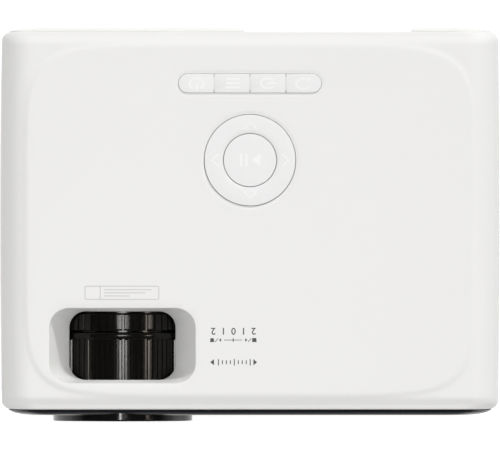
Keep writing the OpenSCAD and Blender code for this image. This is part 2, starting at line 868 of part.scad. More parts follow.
module rear_bay_cut() {
    translate([0, 0, floor_z - eps]) linear_extrude(cavity_top - floor_z + 2*eps) polygon([
        [bay_x0, bay_y], [bay_x1, bay_y],
        [bay_x1 + bay_lean, rear_y + rear_proud + eps], [bay_x0 - bay_lean, rear_y + rear_proud + eps]]);
}

// Cut through the floor of the rear bay, w and h from its middle
module across_bay(x, w, h) {
    box([x - w, bay_box_y, bay_z - h], [x + w, rear_y, bay_z + h]);
}

module rear_panel() color("white") {
    face_y = rear_y + rear_proud - wall;
    side_x0 = bay_x0 - bay_lean - wall;
    side_x1 = bay_x1 + bay_lean + wall;
    difference() {
        union() {
            end_panel_form(1, rear_y, rear_proud);
            intersection() {
                cavity_prism(bay_y - wall, rear_y, gap, gap);
                box([side_x0, bay_y - wall, under], [side_x1, rear_y, top_z]);
            }
        }
        intersection() {
            cavity_prism(rear_y - panel_grip - eps, face_y, gap + wall, gap + wall);
            union() {
                box([left_x, bay_box_y, under], [side_x0, face_y, top_z]);
                box([side_x1, bay_box_y, under], [right_x, face_y, top_z]);
            }
        }
        rear_bay_cut();
        for (i = [-vent_side : vent_side]) {
            half = sqrt(pow(fan_r, 2) - pow(vent_pitch*i, 2));
            z = fan_z + vent_pitch*i;
            box([fan_x - half, bay_box_y, z - vent_slot/2], [fan_x + half, rear_y + wall*2, z + vent_slot/2]);
        }
        across_bay(inlet_x, inlet_w/2 - inlet_side_rim, inlet_h/2 - inlet_end_rim);
        across_bay(switch_x, rocker_w/2 + switch_clear, rocker_h/2 + switch_clear);
    }
}

// ---- Lens ----

module lens_hood() color("#101010") {
    lip_y = hood_proud - panel_proud + wall + gap;
    throat_r = barrel_r + hood_throat;
    translate([lens_x, front_y - hood_proud, lens_z]) rotate([-90, 0, 0]) rotate_extrude($fn = 96) polygon([
        [hood_r - 1.9, 0], [hood_r - 0.9, 0.15], [hood_r - 0.2, 0.8], [hood_r, 1.6],
        [hood_r, lip_y], [hood_r + hood_lip, lip_y], [hood_r + hood_lip, lip_y + hood_lip_t],
        [throat_r, lip_y + hood_lip_t], [throat_r, 6], [hood_r - hood_rim, 0.4]]);
}

module lens_mount() color("#1c1c1c") {
    difference() {
        union() {
            rod_y(lens_x, lens_z, mount_y0, mount_y1 + eps, mount_r, $fn = 96);
            box([lens_x - mount_flange_w/2, mount_y1, lens_z - mount_flange_w/2],
                [lens_x + mount_flange_w/2, engine_y0, lens_z + mount_flange_w/2]);
        }
        rod_y(lens_x, lens_z, mount_y0 - eps, engine_y0 + eps, mount_in_r, $fn = 96);
        tube_y(lens_x, lens_z, clip_y0 - 0.1, clip_y0 + clip_t + 0.1, mount_r + eps, mount_r - clip_groove);
    }
}

// Outline with straight-sided grooves, seen along the axis
function ribbed(r, count, depth, share) =
    [for (i = [0 : count - 1]) for (p = [[0, 0], [share, 0], [share, depth], [1, depth]])
        let (a = 360*(i + p[0])/count) [(r - p[1])*cos(a), (r - p[1])*sin(a)]];

module ribbed_y(y0, y1, r, count, share) {
    translate([lens_x, y1, lens_z]) rotate([90, 0, 0])
        linear_extrude(y1 - y0) polygon(ribbed(r, count, rib_depth, share));
}

module focus_ring() color("#141414") {
    difference() {
        union() {
            ribbed_y(focus_y0 + focus_rim, focus_y1 - collar_l + eps, ring_r, focus_ribs, focus_rib_share);
            translate([lens_x, focus_y1, lens_z]) rotate([90, 0, 0]) rotate_extrude($fn = 96) polygon([
                [mount_r - 1, 0], [ring_r - 1.6, 0], [ring_r - 0.7, 0.4], [ring_r - 0.1, 1.4],
                [ring_r - 0.1, collar_l], [mount_r - 1, collar_l]]);
            rod_y(lens_x, lens_z, focus_y0, focus_y0 + focus_rim + eps, ring_r - rib_depth, $fn = 96);
        }
        rod_y(lens_x, lens_z, focus_y0 - eps, focus_y1 + eps, mount_r + run, $fn = 96);
    }
}

module keystone_ring() color("#141414") {
    ribs_y1 = keystone_y1 - neck_start;
    difference() {
        union() {
            ribbed_y(keystone_y0, ribs_y1, ring_r, keystone_ribs, keystone_rib_share);
            rod_y(lens_x, lens_z, ribs_y1 - eps, neck_y1, ring_r - neck_in, $fn = 96);
            intersection() {
                rod_y(lens_x + cam_throw, lens_z, neck_y1 - cam_t, neck_y1, cam_r, $fn = 96);
                translate([lens_x, neck_y1, lens_z]) rotate([90, 0, 0])
                    linear_extrude(cam_t) polygon([[0, 0], [-2*ring_r, 2*ring_r], [2*ring_r, 2*ring_r]]);
            }
        }
        rod_y(lens_x, lens_z, keystone_y0 - eps, neck_y1 + eps, mount_r + run, $fn = 96);
    }
}

module ring_clip() color("silver") {
    difference() {
        tube_y(lens_x, lens_z, clip_y0, clip_y0 + clip_t, mount_r + clip_rim, mount_r - clip_groove + run);
        box([lens_x - clip_mouth/2, clip_y0 - eps, lens_z - ring_r - eps],
            [lens_x + clip_mouth/2, clip_y0 + clip_t + eps, lens_z]);
    }
}

module lens_barrel() color("#181818") {
    seat_y0 = barrel_y0 + lens_seat_l;
    seat_y1 = barrel_y1 - lens_seat_l;
    difference() {
        rod_y(lens_x, lens_z, barrel_y0, barrel_y1, barrel_r, $fn = 96);
        rod_y(lens_x, lens_z, seat_y0, seat_y1, barrel_r - barrel_wall);
        rod_y(lens_x, lens_z, barrel_y0 - eps, seat_y0, barrel_r - front_rim);
        rod_y(lens_x, lens_z, seat_y0 - 0.1, seat_y0 + 1, barrel_r - rear_rim);
        rod_y(lens_x, lens_z, seat_y1 - 0.1, barrel_y1 + eps, barrel_r - rear_rim);
    }
}

// Half profile of a biconvex lens of thickness t, each face bulging by sag
function lens_profile(r, t, sag) = let (
        curve = (r*r + sag*sag)/(2*sag),
        face = [for (i = [0 : lens_steps]) let (x = r*i/lens_steps) [x, curve - sqrt(curve*curve - x*x)]])
    concat(face, [for (i = [lens_steps : -1 : 0]) [face[i][0], t - face[i][1]]]);

// Lens along Y between y0 and y1
module biconvex(y0, y1, r, sag, tint) {
    color(tint) translate([lens_x, y1, lens_z]) rotate([90, 0, 0])
        rotate_extrude($fn = 96) polygon(lens_profile(r, y1 - y0, sag));
}

module front_lens() {
    y1 = barrel_y0 + lens_seat_l - 0.1;
    biconvex(barrel_y0 + gap, y1, barrel_r - front_rim - run, front_sag, "lightblue");
}

module rear_lens() {
    y0 = barrel_y1 - lens_seat_l + 0.2;
    biconvex(y0, barrel_y1 - 0.4, barrel_r - rear_rim - run, rear_sag, "lightblue");
}

// ---- Light engine ----

module engine_housing() color("#202020") {
    half = engine_w/2;
    tunnel = tunnel_w/2;
    difference() {
        union() {
            box([lens_x - half, engine_y0, frame_z1], [lens_x + half, engine_y1, engine_z1]);
            box([lens_x - tunnel, engine_y1 - eps, lens_z - tunnel],
                [lens_x + tunnel, tunnel_y1, lens_z + tunnel]);
        }
        box([lens_x - half + engine_wall, engine_y0 + engine_wall, frame_z1 + engine_wall],
            [lens_x + half - engine_wall, engine_y1 - engine_wall, engine_z1 - engine_wall]);
        box([lens_x - tunnel + engine_wall, engine_y1 - engine_wall - eps, lens_z - tunnel + engine_wall],
            [lens_x + tunnel - engine_wall, tunnel_y1 + eps, lens_z + tunnel - engine_wall]);
        rod_y(lens_x, lens_z, engine_y0 - eps, engine_y0 + engine_wall + eps, mount_in_r);
        rod_x(lens_x - half - eps, lens_x + half + eps, lcd_y, lens_z, pivot_r + run);
        box([lens_x - arm_w/2 - arm_room, lcd_y - arm_swing, engine_z1 - engine_wall - eps],
            [lens_x + arm_w/2 + arm_room, lcd_y + arm_swing, engine_z1 + eps]);
    }
}

module fresnel_lenses() color("#cfe3ea") {
    half = engine_w/2 - engine_wall - gap;
    for (y = [lcd_y - fresnel_gap - fresnel_t, lcd_y + fresnel_gap]) {
        box([lens_x - half, y, frame_z1 + engine_wall + gap],
            [lens_x + half, y + fresnel_t, engine_z1 - engine_wall - gap]);
    }
}

// Box round the lens axis between two depths, w and h from the axis
module round_axis(y0, y1, w, h) {
    box([lens_x - w, y0, lens_z - h], [lens_x + w, y1, lens_z + h]);
}

module lcd_frame() color("#303234") {
    glass_w = lcd_glass_w/2;
    glass_h = lcd_glass_h/2;
    arm_y0 = neck_y1 - cam_t + gap;
    front = lcd_y - lcd_t/2;
    rear = lcd_y + lcd_t/2;
    difference() {
        union() {
            round_axis(front, rear, lcd_w/2, lcd_h/2);
            rod_x(lens_x - engine_w/2 + 0.2, lens_x + engine_w/2 - 0.2, lcd_y, lens_z, pivot_r);
            box([lens_x - arm_w/2, front, lens_z + lcd_h/2 - eps], [lens_x + arm_w/2, rear, arm_z + arm_t]);
            box([lens_x - arm_w/2, arm_y0, arm_z], [lens_x + arm_w/2, lcd_y, arm_z + arm_t]);
        }
        round_axis(lcd_y - lcd_seat, rear + eps, glass_w, glass_h);
        round_axis(front - eps, lcd_y, glass_w - lcd_lip, glass_h - lcd_lip);
    }
}

module lcd_panel() color("#405060") {
    y0 = lcd_y - lcd_seat;
    round_axis(y0, y0 + lcd_glass_t, lcd_glass_w/2 - run, lcd_glass_h/2 - run);
}

module condenser_lens() {
    y0 = engine_y1 + 1;
    biconvex(y0, y0 + condenser_l, tunnel_w/2 - engine_wall - run, condenser_sag, "#d8ecf2");
}

module led_module() color("gold") {
    half = tunnel_w/2;
    y0 = tunnel_y1 + gap/2;
    round_axis(y0, y0 + led_t, half, half);
    round_axis(y0 - emitter_h, y0 + eps, emitter_half, emitter_half);
}

module heatsink() color("silver") {
    fin_y0 = sink_y0 + sink_base;
    low = lens_z - sink_h/2;
    high = lens_z + sink_h/2;
    pitch = (sink_w - fin_t)/(fin_count - 1);
    round_axis(sink_y0, fin_y0, sink_w/2, sink_h/2);
    for (i = [0 : fin_count - 1]) {
        x = lens_x - sink_w/2 + i*pitch;
        box([x, fin_y0 - eps, low], [x + fin_t, fin_y0 + fin_l, high]);
    }
}

module fan_frame() color("#222222") {
    half = fan_w/2;
    hole = half - fan_hole_in;
    spider_y1 = fan_y0 + spider_t;
    difference() {
        box([fan_x - half, fan_y0, fan_z - half], [fan_x + half, fan_y1, fan_z + half]);
        rod_y(fan_x, fan_z, spider_y1, fan_y1 + eps, fan_r, $fn = 72);
        difference() {
            rod_y(fan_x, fan_z, fan_y0 - eps, spider_y1 + eps, fan_r, $fn = 72);
            rod_y(fan_x, fan_z, fan_y0 - eps, spider_y1 + eps, hub_r);
            for (a = [45, 135]) {
                translate([fan_x, fan_y0, fan_z]) rotate([0, a, 0])
                    cube([2*fan_r, 2*spider_t + 1, spider_w], center = true);
            }
        }
        for (x = [fan_x - hole, fan_x + hole]) {
            for (z = [fan_z - hole, fan_z + hole]) rod_y(x, z, fan_y0 - eps, fan_y1 + eps, fan_hole_r);
        }
    }
    rod_y(fan_x, fan_z, fan_y0 + 1, fan_y0 + 1 + fan_shaft_l, fan_shaft_r);
}

module fan_impeller() color("#2a2a2a") {
    y0 = fan_y0 + spider_t + gap;
    y1 = fan_y1 - 1;
    difference() {
        union() {
            rod_y(fan_x, fan_z, y0, y1, hub_r);
            intersection() {
                tube_y(fan_x, fan_z, y0, y1 - 1, fan_r - 0.7, hub_r - 1);
                for (i = [0 : blade_count - 1]) {
                    translate([fan_x, (y0 + y1)/2, fan_z]) rotate([0, 360*i/blade_count, 0])
                        translate([fan_r/2, 0, 0]) rotate([blade_lean, 0, 0])
                            cube([fan_r, fan_t + 3, blade_t], center = true);
                }
            }
        }
        rod_y(fan_x, fan_z, y0 - eps, fan_y0 + 1 + fan_shaft_l + 1, fan_shaft_r + run);
    }
}

module frame_plate() color("#b9bcc0") {
    box([plate_x0, plate_y0, frame_z0], [plate_x1, plate_y1, frame_z1]);
    for (x = leg_xs) {
        for (y = leg_ys) box([x, y, floor_z], [x + leg_w, y + leg_w, frame_z0 + 0.1]);
    }
}

// ---- Disc drive ----

module drive_chassis() color("#c4c7ca") {
    difference() {
        box([chassis_x0, mid_y - chassis_out, drive_z], [chassis_x1, mid_y + chassis_out, drive_top - sheet]);
        box([chassis_x0 - eps, mid_y - chassis_in, drive_z + sheet],
            [chassis_x1 - sheet, mid_y + chassis_in, drive_top + eps]);
        for (p = drive_posts) post(p[0], p[1], drive_z - eps, drive_z + sheet + eps, screw_hole_r);
    }
}

module drive_cover() color("#ced1d4") {
    box([chassis_x0, mid_y - chassis_out, drive_top - sheet], [chassis_x1, mid_y + chassis_out, drive_top]);
}

module disc_tray() color("#26282b") {
    difference() {
        box([tray_x0, tray_y0, tray_z0], [tray_x1, tray_y1, tray_z1]);
        post(disc_x, mid_y, well_z, tray_z1 + eps, well_r, $fn = 96);
        for (y = [tray_y0, tray_y1]) {
            post(disc_x, y, well_z, tray_z1 + 2*eps, finger_r);
        }
        box([disc_x - motor_d/2 - 1.5, mid_y - motor_pocket_w/2, tray_z0 - eps],
            [rib_x, mid_y + motor_pocket_w/2, pocket_z]);
        box([rib_x + rib_t, pocket_y0, tray_z0 - eps], [pocket_x1, pocket_y1, pocket_z]);
        post(disc_x, mid_y, pocket_z - eps, well_z + eps, hub_hole_r);
        box([slot_x0, mid_y - slot_w/2, pocket_z - eps], [slot_x1, mid_y + slot_w/2, well_z + eps]);
    }
}

module tray_bezel() color("white") {
    outline = concat(
        [[bezel_x1, slot_z1], [bezel_x1, slot_z0]],
        [for (i = [0 : bezel_steps]) let (z = slot_z0 + (slot_z1 - slot_z0)*i/bezel_steps)
            [bezel_margin - half_w(z - under), z]]);
    difference() {
        translate([0, mid_y + bezel_w/2, 0]) rotate([90, 0, 0]) linear_extrude(bezel_w) polygon(outline);
        button_shape(left_x - eps, bezel_x1 + eps, gap);
        rod_x(left_x - eps, bezel_x1 + eps, eject_y - pin_hole_y, eject_z, pin_hole_r);
    }
}

// Pill along X with its long side along Y
module button_shape(x0, x1, grow) {
    half = (eject_w - eject_h)/2;
    r = eject_h/2 + grow;
    box([x0, eject_y - half, eject_z - r], [x1, eject_y + half, eject_z + r]);
    for (y = [-half, half]) rod_x(x0, x1, eject_y + y, eject_z, r);
}

module eject_button() color("#e9e9ea") {
    button_shape(-half_w(eject_z - under) - gap, bezel_x1 - eject_travel - gap, 0);
}

module tray_runners() color("#a9acb0") {
    for (side = [-1, 1]) {
        y = mid_y + side*(tray_w/2 + gap + runner_t/2);
        box([chassis_x0 + runner_inset, y - runner_t/2, tray_z0],
            [chassis_x0 + runner_inset + tray_travel + runner_spare, y + runner_t/2, drive_z + runner_h]);
    }
}

module spindle_motor() color("#9a9da1") {
    collar(disc_x, mid_y, tray_z0, pocket_z, motor_d/2, shaft_r + run);
}

module spindle_hub() color("#303030") {
    post(disc_x, mid_y, tray_z0 + 0.5, well_z, shaft_r);
    post(disc_x, mid_y, pocket_z + gap, well_z + hub_rise, hub_disc_r);
    translate([disc_x, mid_y, well_z + hub_rise - thin]) cylinder(h = cone_h, r1 = cone_r0, r2 = cone_r1);
}

module pickup_sled() color("#3c4046") {
    difference() {
        union() {
            box([pickup_x - pickup_w/2, mid_y - sled_half, tray_z0 + sled_lift],
                [pickup_x + pickup_w/2, mid_y + sled_half, pocket_z - gap]);
            post(pickup_x, mid_y, tray_z0 + 1, well_z - 0.1, lens_stem_r);
            box([arm_x0, mid_y + sled_half - 1, tray_z0 + sled_lift], [arm_x1, screw_y + 2, pocket_z - gap]);
        }
        rod_x(pickup_x - pickup_w, pickup_x + pickup_w, screw_y, rod_z, lead_r + run);
        for (side = [-1, 1]) {
            rod_x(pickup_x - pickup_w, pickup_x + pickup_w, mid_y + side*rod_gap, rod_z, rod_r + run);
        }
    }
}

module guide_rods() color("silver") {
    for (side = [-1, 1]) {
        rod_x(rib_x + rib_t + 0.1, pocket_x1 - 0.1, mid_y + side*rod_gap, rod_z, rod_r);
    }
}

module lead_screw() color("silver") {
    rod_x(motor_x0 + sled_motor_bore + gap, pocket_x1 - gap, screw_y, rod_z, lead_r);
}

module sled_motor() color("#85888c") {
    difference() {
        box([motor_x0, screw_y - sled_motor_w/2, tray_z0],
            [motor_x0 + sled_motor_l, screw_y + sled_motor_w/2, pocket_z]);
        rod_x(motor_x0 + sled_motor_bore, motor_x0 + sled_motor_l + eps, screw_y, rod_z, lead_r + run);
    }
}

// ---- Boards and sockets ----

module main_board() color("#1f6b3a") {
    difference() {
        union() {
            box([main_x0, main_y0, main_z0], [main_x1, main_y1, main_z1]);
            box([chip_x, mid_y - chip/2, main_z1 - eps], [chip_x + chip, mid_y + chip/2, main_z1 + chip_h]);
            box([chip_x, mid_y + chip, main_z1 - eps], [chip_x + 10, mid_y + chip + 14, main_z1 + 1.2]);
            for (i = [0 : 3]) post(main_x0 + 10 + 9*i, mid_y - 34, main_z1 - eps, main_z1 + coil_h, coil_r);
        }
        for (p = main_posts) post(p[0], p[1], main_z0 - eps, main_z1 + eps, screw_hole_r);
    }
}

// Shell of a rectangular socket with a tongue in it
module socket_box(y, w, h, depth, tongue) {
    x0 = socket_x - depth;
    in_w = w/2 - socket_skin;
    difference() {
        box([x0, y - w/2, main_z1], [socket_x, y + w/2, main_z1 + h]);
        box([x0 + 3, y - in_w, main_z1 + socket_skin], [socket_x + eps, y + in_w, main_z1 + h - socket_skin]);
    }
    if (tongue > 0) {
        z = main_z1 + h*0.55;
        box([x0 + 2.9, y - w/2 + 1.6, z], [socket_x - 1, y + w/2 - 1.6, z + tongue]);
    }
}

module usb_port() color("silver") {
    socket_box(usb_y, usb_w, usb_h, socket_l, 1.6);
}

module hdmi_ports() color("silver") {
    socket_box(hdmi_a_y, hdmi_w, hdmi_h, socket_l - 1, 1);
    socket_box(hdmi_b_y, hdmi_w, hdmi_h, socket_l - 1, 1);
}

module card_slot() color("#c0c3c6") {
    socket_box(card_y, card_w, card_h, socket_l, 0);
}

module audio_jacks() color("#202124") {
    collar_x = socket_x - port_reach;
    for (y = [jack_a_y, jack_b_y]) {
        difference() {
            union() {
                rod_x(collar_x, socket_x, y, main_z1 + jack_r, jack_r);
                box([collar_x - 10, y - jack_r, main_z1], [collar_x + thin, y + jack_r, main_z1 + 2*jack_r]);
            }
            rod_x(socket_x - 12, socket_x + eps, y, main_z1 + jack_r, plug_d/2);
        }
    }
}

module ir_window() color("#3a1010") {
    dome_x = socket_x - 0.6;
    z = main_z1 + ir_r;
    rod_x(socket_x - 5, dome_x, ir_y, z, ir_r);
    translate([dome_x - thin, ir_y, z]) rotate([0, 90, 0]) cylinder(h = 0.8, r1 = ir_r - 0.1, r2 = ir_r - 1);
}

module power_board() color("#8a6a2c") {
    difference() {
        box([power_x0, power_y0, power_z], [power_x1, power_y1, power_z + board_t]);
        for (p = power_posts) post(p[0], p[1], power_z - eps, power_z + board_t + eps, screw_hole_r);
    }
}

module power_parts() {
    z = power_z + board_t;
    x = (power_x0 + power_x1)/2;
    y = (power_y0 + power_y1)/2;
    core = [24, 26, 20];
    core_rise = 2;
    can_r = 6.5;
    can_h = 21;
    can_pitch = 16;
    filter = [22, 8, 12];
    cooler = [3, 44, 18];
    core_at = [x - 4, y - 14, z];
    color("#d8c02c") box(core_at, core_at + core);
    color("#222222") translate([0, 0, core[2]])
        box(core_at + [0, 6, 0], core_at + [core[0], core[1] - 6, core_rise]);
    color("#1d2b50") for (i = [0 : 2]) post(x - 26, y - 22 + can_pitch*i, z, z + can_h, can_r);
    color("silver") translate([x + 28, y - 24, z]) cube(cooler);
    color("#101010") translate([x - 14, y - 26, z]) cube(filter);
}

module speakers() {
    r = speaker_d/2;
    for (x = speaker_x) {
        translate([x, speaker_y, floor_z]) {
            color("#1e1e1e") rotate_extrude($fn = 72) polygon([
                [0, 8], [coil_cap_r, 8], [coil_cap_r + 1, 5.4], [r - 1.5, 2], [r - 3, 0], [r, 0],
                [r, 2.6], [magnet_r, 7], [magnet_r, speaker_h], [0, speaker_h]]);
            color("#4a4a48") rotate_extrude($fn = 72) polygon([
                [0, 5.4], [coil_cap_r - 1, 5.4], [r - 4.2, 1.2], [r - 3.5, 0.4], [r - 2.9, 0.9],
                [coil_cap_r + 1, 5], [coil_cap_r - 0.4, 7.6], [0, 7.6]]);
        }
    }
}

// Pan-head screw along Z: its head's underside at z, its shank running dir = 1 up or -1 down
module screw(p, z, dir, l) {
    post(p[0], p[1], min(z, z - dir*head_t), max(z, z - dir*head_t), head_r);
    post(p[0], p[1], min(z - dir*thin, z + dir*l), max(z - dir*thin, z + dir*l), screw_r);
}

module screws() color("#3a3a3c") {
    for (p = case_posts) screw(p, under + head_sink, 1, split_z + case_bite - under - head_sink);
    for (p = drive_posts) screw(p, under + head_sink, 1, drive_z + sheet - under - head_sink);
    for (p = main_posts) screw(p, main_z1, -1, board_t + board_bite);
    for (p = power_posts) screw(p, power_z + board_t, -1, board_t + power_bite);
    for (p = keypad_posts) screw(p, board_z, 1, board_t + board_bite);
}

module mains_inlet() color("#151515") {
    y1 = bay_y - wall;
    w = inlet_w/2;
    h = inlet_h/2;
    body_half_w = w - inlet_side_rim - run;
    body_half_h = h - inlet_end_rim - run;
    mouth_r = inlet_mouth_h/2;
    mouth_x = inlet_mouth_w/2 - mouth_r;
    difference() {
        union() {
            box([inlet_x - w, y1 - inlet_flange_t, bay_z - h], [inlet_x + w, y1, bay_z + h]);
            box([inlet_x - body_half_w, y1 - inlet_l, bay_z - body_half_h],
                [inlet_x + body_half_w, bay_y, bay_z + body_half_h]);
        }
        box([inlet_x - mouth_x, y1 - inlet_bore, bay_z - mouth_r],
            [inlet_x + mouth_x, bay_y + eps, bay_z + mouth_r]);
        for (x = [inlet_x - mouth_x, inlet_x + mouth_x]) {
            rod_y(x, bay_z, y1 - inlet_bore, bay_y + eps, mouth_r);
        }
    }
    for (x = [inlet_x - pin_x, inlet_x + pin_x]) rod_y(x, bay_z, y1 - inlet_bore - 1, bay_y - wall, pin_r);
}

// Box round the middle of the switch between two depths, w and h from its middle
module round_switch(y0, y1, w, h) {
    box([switch_x - w, y0, bay_z - h], [switch_x + w, y1, bay_z + h]);
}

module switch_body() color("#141414") {
    y0 = bay_y - wall - switch_l;
    w = rocker_w/2;
    h = rocker_h/2;
    difference() {
        union() {
            round_switch(y0, bay_y + 0.2, w + switch_wall, h + switch_wall);
            round_switch(bay_y + 0.1, bay_y + switch_rim_t, w + switch_rim, h + switch_rim);
        }
        round_switch(y0 + 2, bay_y + 2, w - 1, h - 1.6);
        post(switch_x, rocker_axis_y, bay_z - h - 0.2, bay_z + h + 0.2, rocker_pin_r + run);
    }
}

module power_rocker() color("#1b1b1b") {
    w = rocker_w/2 - 1.8;
    h = rocker_h/2 - 1.9;
    translate([switch_x, rocker_axis_y, bay_z]) rotate([0, 0, rocker_tip]) {
        translate([0, 0, -h]) linear_extrude(2*h) polygon([
            [-w, 3.2], [-w + 0.4, 4.6], [0, 3.6], [w - 0.4, 4.6], [w, 3.2], [2.4, -1.8], [-2.4, -1.8]]);
        cylinder(h = rocker_h - 0.2, r = rocker_pin_r, center = true);
    }
}

module keypad_board() color("#1f6b3a") {
    difference() {
        box([-keypad_x, keypad_y0, board_z], [keypad_x, keypad_y1, board_top]);
        for (p = keypad_posts) post(p[0], p[1], board_z - eps, board_top + eps, screw_hole_r);
    }
    for (side = [-1, 1]) post(side*nub_r, pad_y, board_top - eps, gimbal_z0 - nub_h - gap, 0.9);
}

module tact_switch(x, y) {
    box([x - switch_w/2, y - switch_w/2, board_top], [x + switch_w/2, y + switch_w/2, board_top + switch_h]);
    post(x, y, board_top + switch_h - eps, plunger_top, 1.75);
}

module tact_switches() color("#2b2b2b") {
    for (i = [0 : 3]) tact_switch(key_x(i), key_row_y);
    tact_switch(0, pad_y);
    for (a = [0, 90, 180, 270]) tact_switch(pad_switch_r*cos(a), pad_y + pad_switch_r*sin(a));
}

function key_x(i) = (i - 1.5)*key_pitch;

// One key of the row, counted from the left
module row_key(i) {
    cut = gap/2;
    x0 = -key_row_w/2 + i*key_pitch;
    intersection() {
        union() {
            pill(0, key_row_y, flange_z - flange_h, key_top, key_row_w - 2*gap, key_row_d - 2*gap);
            box([x0 + key_flange_in, key_row_y - key_row_d/2 - key_flange_reach, flange_z - flange_h],
                [x0 + key_pitch - key_flange_in, key_row_y + key_row_d/2 + key_flange_reach, flange_z]);
        }
        box([x0 + (i == 0 ? -eps : cut), key_row_y - key_row_d, flange_z - flange_h],
            [x0 + key_pitch + (i == 3 ? eps : -cut), key_row_y + key_row_d, key_top]);
    }
    post(key_x(i), key_row_y, key_stem_z, flange_z - flange_h + thin, key_stem_r);
}

module key_power() color("#f4f4f2") row_key(0);
module key_menu() color("#f4f4f2") row_key(1);
module key_source() color("#f4f4f2") row_key(2);
module key_back() color("#f4f4f2") row_key(3);

module nav_gimbal() color("#d9d9d6") {
    collar(0, pad_y, gimbal_z0, gimbal_z1, gimbal_out, gimbal_in);
    for (side = [-1, 1]) {
        nub = side*nub_r;
        box([nub - nub_w, pad_y - nub_w/2, gimbal_z0 - nub_h],
            [nub + nub_w, pad_y + nub_w/2, gimbal_z0 + thin]);
        box([-nub_w/2, pad_y + nub - nub_w, gimbal_z1 - thin],
            [nub_w/2, pad_y + nub + nub_w, gimbal_z1 + nub_h]);
    }
}

module nav_ring() color("#f4f4f2") {
    difference() {
        union() {
            translate([0, pad_y, 0]) rotate_extrude($fn = 96) polygon([
                [ok_d/2 + eps, pad_z0], [pad_d/2 + key_flange_reach, pad_z0],
                [pad_d/2 + key_flange_reach, pad_flange_z1],
                [pad_d/2 - gap, pad_flange_z1], [pad_d/2 - gap, key_top - 0.5],
                [pad_d/2 - gap - 0.5, key_top], [ok_d/2 - 1, key_top], [ok_d/2 - 1, pad_z0]]);
            for (a = [0, 90, 180, 270]) {
                post(pad_switch_r*cos(a), pad_y + pad_switch_r*sin(a), pad_press_z, pad_z0 + thin, 1.5);
            }
        }
        post(0, pad_y, pad_z0 - eps, key_top + eps, ok_d/2, $fn = 96);
    }
}

module ok_button() color("#f4f4f2") {
    r = ok_d/2 - gap;
    flange_top = gimbal_z1;
    flange_low = gimbal_z0 + 0.4;
    translate([0, pad_y, 0]) rotate_extrude($fn = 96) polygon([
        [0, flange_low], [r + 0.8, flange_low], [r + 0.8, flange_top], [r, flange_top],
        [r, key_top - 0.4], [r - 0.4, key_top], [0, key_top]]);
    post(0, pad_y, key_stem_z, flange_low + thin, key_stem_r);
}

// ---- Feet and fixings ----

module rubber_feet() color("#2c2c2c") {
    for (x = [-foot_x, foot_x]) {
        for (y = [-foot_y, foot_y]) {
            translate([x, mid_y + y, 0]) rotate_extrude() polygon([
                [0, 0], [foot_d/2 - 0.8, 0], [foot_d/2, 0.8], [foot_d/2, foot_h], [0, foot_h]]);
        }
    }
}

module foot_screw() color("silver") {
    post(screw_foot_x, screw_foot_y, foot_screw_z0, foot_screw_z1, foot_screw_d/2);
}

module foot_pad() color("#2c2c2c") {
    r = foot_pad_r;
    translate([screw_foot_x, screw_foot_y, 0]) rotate_extrude() polygon([
        [0, foot_pad_lift], [r - 1, foot_pad_lift], [r, 1], [r, foot_pad_top], [0, foot_pad_top]]);
}

module tripod_insert() color("#b08d3c") {
    difference() {
        post(0, mid_y, under, under + tripod_l - 0.1, tripod_out_r);
        post(0, mid_y, under - eps, under + tripod_l - 1, tripod_r, $fn = 64);
    }
}

bottom_case();
top_cover();
front_panel();
rear_panel();
lens_hood();
lens_mount();
focus_ring();
keystone_ring();
ring_clip();
lens_barrel();
front_lens();
rear_lens();
engine_housing();
fresnel_lenses();
lcd_frame();
lcd_panel();
condenser_lens();
led_module();
heatsink();
fan_frame();
fan_impeller();
frame_plate();
drive_chassis();
drive_cover();
disc_tray();
tray_bezel();
eject_button();
tray_runners();
spindle_motor();
spindle_hub();
pickup_sled();
guide_rods();
lead_screw();
sled_motor();
main_board();
usb_port();
hdmi_ports();
card_slot();
audio_jacks();
ir_window();
power_board();
power_parts();
speakers();
screws();
mains_inlet();
switch_body();
power_rocker();
keypad_board();
tact_switches();
key_power();
key_menu();
key_source();
key_back();
nav_gimbal();
nav_ring();
ok_button();
rubber_feet();
foot_screw();
foot_pad();
tripod_insert();
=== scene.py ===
"""Looks of a small white LCD video projector with a disc drive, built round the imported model.

Lengths are metres in the model's frame: X to the side with the sockets, -Y to the lens, Z up.
"""

import json
import math

import bmesh
import bpy
import numpy as np
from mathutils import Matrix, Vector
from mathutils.geometry import delaunay_2d_cdt


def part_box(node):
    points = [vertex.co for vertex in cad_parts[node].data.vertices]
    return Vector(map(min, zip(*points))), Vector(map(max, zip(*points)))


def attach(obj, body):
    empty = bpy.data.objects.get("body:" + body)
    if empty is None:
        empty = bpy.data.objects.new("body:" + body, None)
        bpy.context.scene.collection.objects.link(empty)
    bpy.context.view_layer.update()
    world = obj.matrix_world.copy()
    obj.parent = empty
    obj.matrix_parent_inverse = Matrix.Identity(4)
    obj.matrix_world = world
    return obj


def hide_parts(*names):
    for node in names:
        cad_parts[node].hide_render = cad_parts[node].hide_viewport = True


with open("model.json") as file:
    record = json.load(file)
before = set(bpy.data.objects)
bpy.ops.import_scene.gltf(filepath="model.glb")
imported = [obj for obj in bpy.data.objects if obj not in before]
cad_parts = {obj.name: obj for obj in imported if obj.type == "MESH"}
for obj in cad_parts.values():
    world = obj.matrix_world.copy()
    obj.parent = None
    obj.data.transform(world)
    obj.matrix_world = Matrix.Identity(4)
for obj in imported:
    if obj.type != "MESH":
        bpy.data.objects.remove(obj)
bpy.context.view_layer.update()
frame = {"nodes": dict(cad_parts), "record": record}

MM = 0.001


def middle(node):
    low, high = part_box(node)
    return (low + high) / 2


def past(a, b, *steps):
    """Pairs that lie these steps, in mm, past the pair (a, b)."""
    return [(a + da * MM, b + db * MM) for da, db in steps]


# ---- Sizes taken from the frame ----

